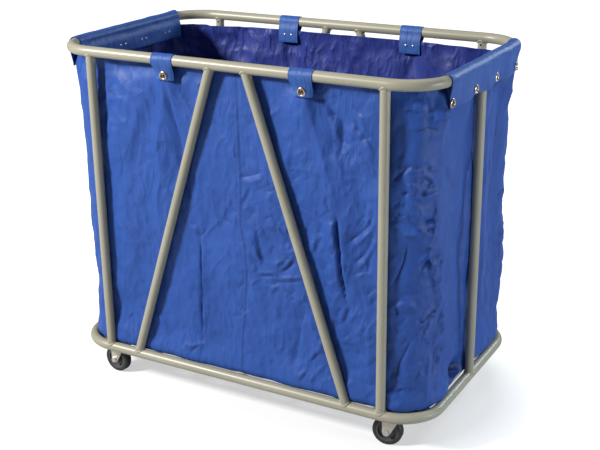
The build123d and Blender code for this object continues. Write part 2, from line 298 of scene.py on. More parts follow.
def mixColour(tree, factor, first, second):
    node = addNode(tree, "ShaderNodeMix", data_type="RGBA")
    tree.links.new(factor, node.inputs["Factor"])
    for socket, value in ((node.inputs[6], first), (node.inputs[7], second)):
        if isinstance(value, bpy.types.NodeSocket):
            tree.links.new(value, socket)
        else:
            socket.default_value = (*value, 1)
    return node.outputs[2]


def bumpFrom(tree, height, strength, distance, below=None):
    node = addNode(tree, "ShaderNodeBump")
    node.inputs["Strength"].default_value = strength
    node.inputs["Distance"].default_value = distance
    tree.links.new(height, node.inputs["Height"])
    if below is not None:
        tree.links.new(below, node.inputs["Normal"])
    return node.outputs["Normal"]


def mottledMaterial(name, look):
    # Paint, zinc, rubber, plastic and board: two tones, varying roughness and a fine relief.
    material, tree, shader = newMaterial(name)
    grain = useGroup(tree, grainGroup, Scale=look["grain"], Patch_Scale=look["patch"])
    patches = rampNode(tree, grain.outputs["Patches"], 0.35, 0.65)
    colour = mixColour(tree, patches, look["colour"], look["second"])
    if "speck" in look:
        specks = mathNode(tree, "MULTIPLY", grain.outputs["Specks"], look.get("speckShare", 0.5))
        colour = mixColour(tree, specks, colour, look["speck"])
    tree.links.new(colour, shader.inputs["Base Color"])
    rough = rampNode(tree, grain.outputs["Patches"], *look["roughness"], "To")
    tree.links.new(rough, shader.inputs["Roughness"])
    normal = bumpFrom(tree, grain.outputs["Height"], look["bump"], look["depth"])
    tree.links.new(normal, shader.inputs["Normal"])
    shader.inputs["Metallic"].default_value = look.get("metal", 0.0)
    shader.inputs["Specular IOR Level"].default_value = look.get("specular", 0.5)
    shader.inputs["Coat Weight"].default_value = look.get("coat", 0.0)
    shader.inputs["Coat Roughness"].default_value = look.get("coatRoughness", 0.2)
    return material


def clothMaterial(name, look):
    material, tree, shader = newMaterial(name)
    weave = useGroup(tree, weaveGroup, Threads=look["threads"])
    creases = useGroup(tree, creaseGroup, Scale=look["creaseScale"])
    grain = useGroup(tree, grainGroup, Scale=60.0, Patch_Scale=look["patch"])
    patches = rampNode(tree, grain.outputs["Patches"], 0.3, 0.7)
    colour = mixColour(tree, patches, look["colour"], look["second"])
    # Lighter colour along the crests of the fine creases.
    ridgeTint = mathNode(tree, "MULTIPLY", creases.outputs["Lines"], look["creaseTint"])
    colour = mixColour(tree, ridgeTint, colour, look["crease"])
    thread = mathNode(tree, "MULTIPLY", weave.outputs["Thread Mask"], 0.25)
    colour = mixColour(tree, thread, colour, look["weft"])
    # Painted shade: the look's deep colour is mixed in where the cloth lies below its neighbours.
    paintedShadeMask = addNode(tree, "ShaderNodeAttribute", attribute_type="GEOMETRY", attribute_name="paintedCreaseShade")
    colour = mixColour(tree, paintedShadeMask.outputs["Fac"], colour, look["deep"])  # painted shade in the bottoms of the creases
    tree.links.new(colour, shader.inputs["Base Color"])
    rough = rampNode(tree, grain.outputs["Patches"], *look["roughness"], "To")
    tree.links.new(rough, shader.inputs["Roughness"])
    normal = bumpFrom(tree, creases.outputs["Height"], look["creaseBump"], 0.006)
    normal = bumpFrom(tree, weave.outputs["Height"], look["weaveBump"], 0.0002, normal)
    tree.links.new(normal, shader.inputs["Normal"])
    shader.inputs["Sheen Weight"].default_value = look["sheen"]
    shader.inputs["Sheen Roughness"].default_value = 0.4
    shader.inputs["Sheen Tint"].default_value = (*look["sheenTint"], 1)
    shader.inputs["Specular IOR Level"].default_value = look["specular"]
    return material


looks = {
    "framePaint": {
        "colour": (0.30, 0.288, 0.215), "second": (0.33, 0.315, 0.24), "speck": (0.38, 0.365, 0.29),
        "speckShare": 0.35, "grain": 900.0, "patch": 6.0, "roughness": (0.36, 0.46), "bump": 0.04,
        "depth": 0.0004, "specular": 0.5, "coat": 0.08, "coatRoughness": 0.25,
    },
    "zincPlate": {
        "colour": (0.56, 0.53, 0.44), "second": (0.66, 0.63, 0.55), "grain": 700.0, "patch": 40.0,
        "roughness": (0.32, 0.5), "bump": 0.2, "depth": 0.0003, "metal": 0.75,
    },
    "brightSteel": {
        "colour": (0.62, 0.61, 0.58), "second": (0.72, 0.71, 0.69), "grain": 900.0, "patch": 60.0,
        "roughness": (0.22, 0.38), "bump": 0.15, "depth": 0.0002, "metal": 0.9,
    },
    "tyreRubber": {
        "colour": (0.018, 0.018, 0.019), "second": (0.03, 0.03, 0.031), "speck": (0.06, 0.058, 0.055),
        "speckShare": 0.3, "grain": 500.0, "patch": 50.0, "roughness": (0.42, 0.62), "bump": 0.3,
        "depth": 0.0004, "specular": 0.45,
    },
    "wheelPlastic": {
        "colour": (0.07, 0.07, 0.075), "second": (0.095, 0.095, 0.10), "grain": 400.0, "patch": 60.0,
        "roughness": (0.35, 0.5), "bump": 0.2, "depth": 0.0003,
    },
    "baseBoard": {
        "colour": (0.70, 0.70, 0.72), "second": (0.76, 0.76, 0.77), "grain": 250.0, "patch": 8.0,
        "roughness": (0.35, 0.5), "bump": 0.15, "depth": 0.0003,
    },
    "snapNickel": {
        "colour": (0.50, 0.40, 0.29), "second": (0.62, 0.52, 0.40), "grain": 900.0, "patch": 90.0,
        "roughness": (0.2, 0.34), "bump": 0.1, "depth": 0.0001, "metal": 1.0,
    },
    "snapBrass": {
        "colour": (0.10, 0.058, 0.03), "second": (0.17, 0.105, 0.055), "grain": 900.0, "patch": 120.0,
        "roughness": (0.3, 0.45), "bump": 0.15, "depth": 0.0002, "metal": 1.0,
    },
}
# deep is the colour of the painted shade in the bottoms of the creases.
clothLooks = {
    "bagOutside": {
        "colour": (0.016, 0.064, 0.285), "second": (0.019, 0.074, 0.315), "crease": (0.03, 0.10, 0.40),
        "weft": (0.02, 0.075, 0.36), "creaseTint": 0.10, "threads": 1800.0, "creaseScale": 30.0,
        "patch": 5.0, "roughness": (0.44, 0.56), "creaseBump": 0.30, "weaveBump": 0.25, "sheen": 0.03,
        "sheenTint": (0.4, 0.6, 1.0), "specular": 0.32, "deep": (0.006, 0.018, 0.09),
    },
    "bagInside": {
        "colour": (0.021, 0.035, 0.195), "second": (0.026, 0.043, 0.225), "crease": (0.045, 0.07, 0.32),
        "weft": (0.035, 0.05, 0.28), "creaseTint": 0.10, "threads": 1800.0, "creaseScale": 20.0,
        "patch": 5.0, "roughness": (0.42, 0.54), "creaseBump": 1.0, "weaveBump": 0.15, "sheen": 0.02,
        "sheenTint": (0.5, 0.5, 1.0), "specular": 0.3, "deep": (0.008, 0.012, 0.08),
    },
    "strapCloth": {
        "colour": (0.018, 0.076, 0.30), "second": (0.022, 0.086, 0.33), "crease": (0.035, 0.12, 0.42),
        "weft": (0.03, 0.10, 0.40), "creaseTint": 0.08, "threads": 1500.0, "creaseScale": 26.0,
        "patch": 14.0, "roughness": (0.42, 0.55), "creaseBump": 0.3, "weaveBump": 0.4, "sheen": 0.03,
        "sheenTint": (0.4, 0.6, 1.0), "specular": 0.4, "deep": (0.008, 0.03, 0.13),
    },
    "thread": {
        "colour": (0.012, 0.03, 0.15), "second": (0.014, 0.035, 0.18), "crease": (0.03, 0.06, 0.25),
        "weft": (0.02, 0.045, 0.20), "creaseTint": 0.0, "threads": 900.0, "creaseScale": 30.0,
        "patch": 40.0, "roughness": (0.5, 0.6), "creaseBump": 0.0, "weaveBump": 0.3, "sheen": 0.05,
        "sheenTint": (0.6, 0.7, 1.0), "specular": 0.35, "deep": (0.006, 0.015, 0.08),
    },
}
paints = {name: mottledMaterial(name, look) for name, look in looks.items()}
cloths = {name: clothMaterial(name, look) for name, look in clothLooks.items()}


def paintNodes():
    slots = {
        "frame_paint": "framePaint", "base_board": "baseBoard", "zinc_plate": "zincPlate",
        "bush_steel": "brightSteel", "fastener_steel": "brightSteel", "wheel_plastic": "wheelPlastic",
        "tyre_rubber": "tyreRubber", "snap_chrome": "snapNickel", "snap_brass": "snapBrass",
        "rivet_steel": "snapNickel",
    }
    for part in frame["record"]["subparts"]:
        finish = slots.get(part["material_slot"])
        if finish:
            obj = nodes[part["node"]]
            obj.data.materials.clear()
            obj.data.materials.append(paints[finish])
    print("CAD nodes painted")


paintNodes()


weld = {
    "rise": 0.0030, "around": 40, "across": 10,
    "out": 0.0002, "flatten": 0.75,  # how far the bead stands off the tube, and how flat it lies
    "ripple": 0.00035, "ripples": 17, "phase": 9000,
    "crossRise": 0.0022, "crossAround": 28, "crossAcross": 8,  # the smaller beads of the crossbars
}


def weldBead(name, foot, axis, tubeRadius, alongY):
    # A bead round the end of a tube of that radius that runs from the rail point foot along axis.
    bpy.ops.mesh.primitive_torus_add(
        major_segments=weld["around"], minor_segments=weld["across"],
        major_radius=tubeRadius + weld["out"], minor_radius=weld["rise"],
    )
    bead = added(name)
    axis = Vector(axis).normalized()
    across = Vector((0, 1, 0)) if not alongY else Vector((1, 0, 0))
    along = axis.cross(across).normalized()
    across = along.cross(axis).normalized()
    for vert in bead.data.vertices:
        x, y, z = vert.co
        turn = atan2(y, x)
        ringX = tubeRadius * cos(turn)
        ringY = tubeRadius * sin(turn)
        side = across * ringY + along * ringX
        # Slide along the tube's axis until the ring point lies on the rail's surface.
        flat = Vector((0 if not alongY else side.x, side.y if not alongY else 0, side.z))
        flatAxis = Vector((0 if not alongY else axis.x, axis.y if not alongY else 0, axis.z))
        a = flatAxis.dot(flatAxis)
        b = flat.dot(flatAxis)
        c = flat.dot(flat) - rail["radius"] ** 2
        slide = (-b + sqrt(max(b * b - a * c, 0.0))) / a
        ripple = weld["ripple"] * sin(turn * weld["ripples"] + tubeRadius * weld["phase"])
        outward = along * cos(turn) + across * sin(turn)
        reach = hypot(x, y) - tubeRadius
        vert.co = Vector(foot) + side + axis * (slide + z)
        vert.co += outward * (reach * weld["flatten"] + ripple)
    return bead


def makeWelds():
    beads = []
    for side, ySign in sides.items():
        y = ySign * rail["halfY"]
        for end in ends:
            upright = middle(f"upright_{side}_{end}")
            for z, turn in ((rail["z"], -1), (rail["baseZ"], 1)):
                foot = (upright.x, y, z)
                beads.append(weldBead("weld", foot, (0, 0, turn), uprightRadius, False))
            top = Vector((braceTop[end], y, rail["z"]))
            bottom = Vector((braceFoot[end], y, rail["baseZ"]))
            run = (top - bottom).normalized()
            beads.append(weldBead("weld", top, -run, uprightRadius, False))
            beads.append(weldBead("weld", bottom, run, uprightRadius, False))
    for end, xSign in ends.items():
        x = xSign * rail["halfX"]
        for z, turn in ((rail["z"], -1), (rail["baseZ"], 1)):
            beads.append(weldBead("weld", (x, 0, z), (0, 0, turn), uprightRadius, True))
    for x in crossbarXs:
        for ySign in (-1, 1):
            foot = (x, ySign * rail["halfY"], crossbarZ)
            beads.append(crossbarBead(foot, (0, -ySign, 0)))
    piece = joined("weld_beads", beads)
    smooth(piece, 60)
    finished(piece, paints["framePaint"])
    print("welds done")


def crossbarBead(foot, axis):
    # Crossbars run into the base rail along Y, a little below its centre.
    bpy.ops.mesh.primitive_torus_add(
        major_segments=weld["crossAround"], minor_segments=weld["crossAcross"],
        major_radius=crossbarRadius, minor_radius=weld["crossRise"],
    )
    bead = added("weld")
    for vert in bead.data.vertices:
        x, y, z = vert.co
        turn = atan2(y, x)
        ringZ = crossbarRadius * sin(turn) + foot[2] - rail["baseZ"]
        depth = sqrt(max(rail["radius"] ** 2 - ringZ ** 2, 0.0))
        vert.co = Vector((foot[0] + x, foot[1] + axis[1] * (depth + z), foot[2] + y))
    return bead


uprightLow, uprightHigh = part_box("upright_front_left")
uprightRadius = (uprightHigh.x - uprightLow.x) / 2
brace = {"foot": 0.2988, "top": 0.0443}  # X of a leaning tube's axis at the base rail and the top rail
braceFoot = {end: sign * brace["foot"] for end, sign in ends.items()}
braceTop = {end: sign * brace["top"] for end, sign in ends.items()}
crossLow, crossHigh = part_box("base_crossbars")
crossbarRadius = (crossHigh.z - crossLow.z) / 2
crossbarZ = (crossHigh.z + crossLow.z) / 2
crossbarXs = (crossLow.x + crossbarRadius, 0.0, crossHigh.x - crossbarRadius)
makeWelds()


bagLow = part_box("bag_left_half")[0]
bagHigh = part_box("bag_right_half")[1]
bag = {
    "low": bagLow.z + 0.0005,
    "top": bagHigh.z,
    "halfX": bagHigh.x,
    "halfY": bagHigh.y,
    "corner": rail["bend"] - (rail["halfX"] - bagHigh.x),
    "cell": 0.0135,  # size of one cell of the simulated cloth
    "seamX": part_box("bag_left_half")[1].x,
    "excessAround": 1.012,
    "excessDown": 1.010,
    "frames": 36,
    "cloth": 0.0006,
    "fineFrom": -0.27, "fineTo": 0.495,  # the part of the wall, along and up, whose cells are halved
    "fineLow": 0.12, "fineHigh": 0.835,
    "girth": 2.8266,  # once round the wall
    "clear": 0.0012,  # room kept to the tubes
    "floorFree": 0.03,  # rim of the floor that may move in the simulation
    "gravity": 0.8,
}
hang = {
    "quality": 6, "mass": 0.004, "air_damping": 2.0, "tension_stiffness": 40, "compression_stiffness": 40,
    "shear_stiffness": 12, "bending_stiffness": 0.02, "tension_damping": 8, "compression_damping": 8,
    "shear_damping": 6, "pin_stiffness": 1.0,
}
strapXs = {
    (side, end): middle(f"strap_{side}_{end}").x for side in sides for end in ends
}
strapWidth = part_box("strap_front_left")[1].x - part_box("strap_front_left")[0].x
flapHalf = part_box("end_flap_right")[1].y
flapSnapYs = (-0.198, -0.066, 0.066, 0.198)
snap = {
    "drop": 0.041, "clothDrop": 0.062,  # the stud's height below the rail, and that of the cloth it lifts
    "out": 0.0015, "radius": 0.009, "size": 1.2, "lean": -6,
    "pull": 0.024, "pullDown": 0.10,  # how far the pull spreads along the wall and down it
}


def roundedPlace(x, y):
    # Pulls the square corner of a grid onto a round one, keeping the grid even.
    signX = 1 if x > 0 else -1
    signY = 1 if y > 0 else -1
    corner = bag["corner"]
    straightX = bag["halfX"] - corner
    straightY = bag["halfY"] - corner
    u = (abs(x) - straightX) / corner
    v = (abs(y) - straightY) / corner
    if u <= 0 or v <= 0:
        return x, y
    newU = u * sqrt(1 - v * v / 2)
    newV = v * sqrt(1 - u * u / 2)
    return signX * (straightX + corner * newU), signY * (straightY + corner * newV)


def around(x, y):
    # Distance along the bag's wall from the middle of its front, running to the right.
    corner = bag["corner"]
    straightX = bag["halfX"] - corner
    straightY = bag["halfY"] - corner
    arc = corner * pi / 2
    quarter = straightX + arc + straightY
    if y <= 0 and abs(x) <= straightX:
        return x
    sign = 1 if x > 0 else -1
    if abs(x) > straightX and abs(y) > straightY:
        turn = atan2(abs(x) - straightX, abs(y) - straightY)
        if y < 0:
            return sign * (straightX + corner * turn)
        return sign * (quarter + straightY + arc - corner * turn)
    if abs(x) > straightX:
        return sign * (straightX + arc + straightY + y)
    return sign * (2 * quarter - abs(x))


def wallNormal(x, y):
    # Outward direction of the bag's wall at a place on its outline.
    dx = max(abs(x) - (bag["halfX"] - bag["corner"]), 0.0) * (1 if x > 0 else -1)
    dy = max(abs(y) - (bag["halfY"] - bag["corner"]), 0.0) * (1 if y > 0 else -1)
    return Vector((dx, dy, 0)).normalized()


def snapPlaces():
    # Each press stud: its place on the bag's wall line, and the outward direction there.
    places = []
    for (side, _), x in strapXs.items():
        places.append((Vector((x, sides[side] * bag["halfY"], 0)), Vector((0, sides[side], 0))))
    straightY = bag["halfY"] - bag["corner"]
    for sign in (-1, 1):
        for y in flapSnapYs:
            past = abs(y) - straightY
            x = bag["halfX"]
            out = Vector((1, 0, 0))
            if past > 0:
                turn = asin(min(past / bag["corner"], 1))
                x = bag["halfX"] - bag["corner"] + bag["corner"] * cos(turn)
                out = Vector((cos(turn), sin(turn) * (1 if y > 0 else -1), 0))
            places.append((Vector((sign * x, y, 0)), Vector((sign * out.x, out.y, 0))))
    return places


def makeBagBlank():
    # The floor is a grid; its rim is extruded up into the walls, one row at a time.
    acrossX = 2 * round(bag["halfX"] / bag["cell"])
    acrossY = 2 * round(bag["halfY"] / bag["cell"])
    rows = round((bag["top"] - bag["low"]) / bag["cell"])
    bpy.ops.mesh.primitive_grid_add(
        x_subdivisions=acrossX, y_subdivisions=acrossY, size=1, location=(0, 0, bag["low"]),
    )
    blank = added("bag")
    blank.scale = (2 * bag["halfX"], 2 * bag["halfY"], 1)
    applyPlace(blank)
    mesh = startEdit(blank)
    mesh.select_mode = {"EDGE"}
    bpy.context.tool_settings.mesh_select_mode = (False, True, False)
    for face in mesh.faces:
        face.select = False
    for edge in mesh.edges:
        edge.select = edge.is_boundary
    mesh.select_flush_mode()
    bmesh.update_edit_mesh(blank.data)
    step = (bag["top"] - bag["low"]) / rows
    for _ in range(rows):
        bpy.ops.mesh.extrude_region_move(TRANSFORM_OT_translate={"value": (0, 0, step)})
    bpy.ops.mesh.select_all(action="SELECT")
    bpy.ops.mesh.normals_make_consistent(inside=False)
    stopEdit()
    for vert in blank.data.vertices:
        vert.co.x, vert.co.y = roundedPlace(vert.co.x, vert.co.y)
    sortFaces(blank.data)
    if blank.data.polygons[0].normal.z > 0:  # the floor's face looks down, out of the bag
        blank.data.flip_normals()
    return blank


def sortFaces(data):
    # Extrude orders edges and faces differently in each run, and the simulation follows their order.
    points = [vert.co.copy() for vert in data.vertices]
    faces = []
    for face in data.polygons:
        ring = list(face.vertices)
        first = ring.index(min(ring))
        faces.append(ring[first:] + ring[:first])
    data.clear_geometry()
    data.from_pydata(points, [], sorted(faces))
    data.update()


def nameCloth(obj):
    # A UV map in metres, unrolled round the walls, for the weave and the creases.
    layer = obj.data.uv_layers.new(name="cloth")
    for face in obj.data.polygons:
        points = [obj.data.vertices[i].co for i in face.vertices]
        flat = max(p.z for p in points) < bag["low"] + 1e-4
        rounds = [around(p.x, p.y) for p in points]
        if max(rounds) - min(rounds) > 1.0:  # a face over the join at the middle of the back
            whole = abs(2 * around(0, bag["halfY"]))
            rounds = [r + whole if r < 0 else r for r in rounds]
        for loop, point, run in zip(face.loop_indices, points, rounds):
            layer.data[loop].uv = (point.x, point.y - 2.0) if flat else (run, point.z)


def hangBag(blank):
    # Rest shape and start shape differ: the studs pull the cloth out, and the cloth is cut a little
    # larger than the room it has, so that it buckles into creases.
    places = snapPlaces()
    pins = blank.vertex_groups.new(name="pins")
    restPoints = []
    startPoints = []
    hemDrop = rail["z"] - bag["top"]
    for vert in blank.data.vertices:
        point = vert.co.copy()
        out = wallNormal(point.x, point.y)
        onFloor = point.z < bag["low"] + 1e-4
        start = point.copy()
        pinned = 0.0
        if onFloor:
            inset = min(bag["halfX"] - abs(point.x), bag["halfY"] - abs(point.y))
            if inset > bag["floorFree"]:
                pinned = 1.0
        else:
            drop = rail["z"] - point.z
            for place, outward in places:
                away = hypot(point.x - place.x, point.y - place.y)
                # The stud lifts and pulls the cloth below the rail.
                near = hypot(away, drop - snap["clothDrop"])
                share = exp(-((away / snap["pull"]) ** 2)) * fade(drop, hemDrop, snap["clothDrop"])
                share *= 1 - fade(drop, snap["clothDrop"] + 0.004, snap["clothDrop"] + snap["pullDown"])
                gap = rail["halfX"] - bag["halfX"]
                start += outward * (gap + snap["out"]) * share
                start.z += (snap["clothDrop"] - snap["drop"]) * share
                if near < snap["radius"]:
                    pinned = 1.0
            if drop < hemDrop + 0.012:
                face = "front" if point.y < 0 else "back"
                strapNear = min(abs(point.x - strapXs[face, end]) for end in ends)
                if abs(point.y) > bag["halfY"] - 0.002 and strapNear < strapWidth / 2:
                    pinned = 1.0
                if abs(point.x) > bag["halfX"] - 0.02 and abs(point.y) < flapHalf - 0.004:
                    pinned = 1.0
        if pinned:
            pins.add([vert.index], pinned, "REPLACE")
        else:
            wave = noise.noise(point * 14) * 0.004 + noise.noise(point * 45) * 0.0015
            start += out * wave if not onFloor else Vector((0, 0, abs(wave) * 0.3))
        rest = Vector((point.x * bag["excessAround"], point.y * bag["excessAround"], 0))
        rest.z = bag["low"] + (point.z - bag["low"]) * bag["excessDown"]
        restPoints.append(rest)
        startPoints.append(start)
    pick(blank)
    basis = blank.shape_key_add(name="cut", from_mix=False)
    hung = blank.shape_key_add(name="hung", from_mix=False)
    for index, (rest, start) in enumerate(zip(restPoints, startPoints)):
        basis.data[index].co = rest
        hung.data[index].co = start
    hung.value = 1.0
    cloth = blank.modifiers.new("hang", "CLOTH")
    settings = cloth.settings
    for key, value in hang.items():
        setattr(settings, key, value)
    settings.vertex_group_mass = "pins"
    settings.rest_shape_key = basis
    settings.effector_weights.gravity = bag["gravity"]
    cloth.collision_settings.use_collision = False
    cloth.collision_settings.use_self_collision = False
    cloth.point_cache.frame_start = 1
    cloth.point_cache.frame_end = bag["frames"]
    scene = bpy.context.scene
    for number in range(1, bag["frames"] + 1):
        scene.frame_set(number)
    graph = bpy.context.evaluated_depsgraph_get()
    result = bpy.data.meshes.new_from_object(blank.evaluated_get(graph))
    points = [v.co.copy() for v in result.vertices]
    bpy.data.meshes.remove(result)
    blank.modifiers.clear()
    blank.shape_key_clear()
    for vert, point in zip(blank.data.vertices, points):
        vert.co = point
    scene.frame_set(1)
    print("bag hung")


def tubeAxes():
    # Centre lines of the tubes beside the bag, as pairs of points.
    axes = []
    for side, ySign in sides.items():
        y = ySign * rail["halfY"]
        for end in ends:
            x = middle(f"upright_{side}_{end}").x
            axes.append((Vector((x, y, 0)), Vector((x, y, 1)), uprightRadius))
            top = Vector((braceTop[end], y, rail["z"]))
            bottom = Vector((braceFoot[end], y, rail["baseZ"]))
            axes.append((bottom, top, uprightRadius))
    for xSign in (-1, 1):
        x = xSign * rail["halfX"]
        axes.append((Vector((x, 0, 0)), Vector((x, 0, 1)), uprightRadius))
    return axes


def keepClear(obj, gap):
    # Pushes the cloth back inside where it would lie in a tube or a rail.
    axes = tubeAxes()
    for vert in obj.data.vertices:
        point = vert.co
        for start, stop, radius in axes:
            if abs(point.y - start.y) > 0.03 and abs(point.x - start.x) > 0.03:
                continue
            line = (stop - start).normalized()
            foot = start + line * (point - start).dot(line)
            away = point - foot
            if away.length < radius + gap:
                out = wallNormal(point.x, point.y)
                inside = away - out * away.dot(out)
                back = sqrt(max((radius + gap) ** 2 - inside.length_squared, 0.0))
                point = foot + inside - out * back
        for z in (rail["z"], rail["baseZ"]):
            drop = point.z - z
            reach = rail["radius"] + gap
            if abs(drop) < reach:
                limit = sqrt(reach * reach - drop * drop)
                x, y = point.x, point.y
                dx = max(abs(x) - rail["cornerX"], 0.0)
                dy = max(abs(y) - rail["cornerY"], 0.0)
                outward = hypot(dx, dy) if dx > 0 and dy > 0 else max(dx, dy)
                edge = rail["bend"] - limit
                if (dx > 0 or dy > 0) and outward > edge:
                    move = wallNormal(x, y) * (edge - outward)
                    point = point + move
        vert.co = point
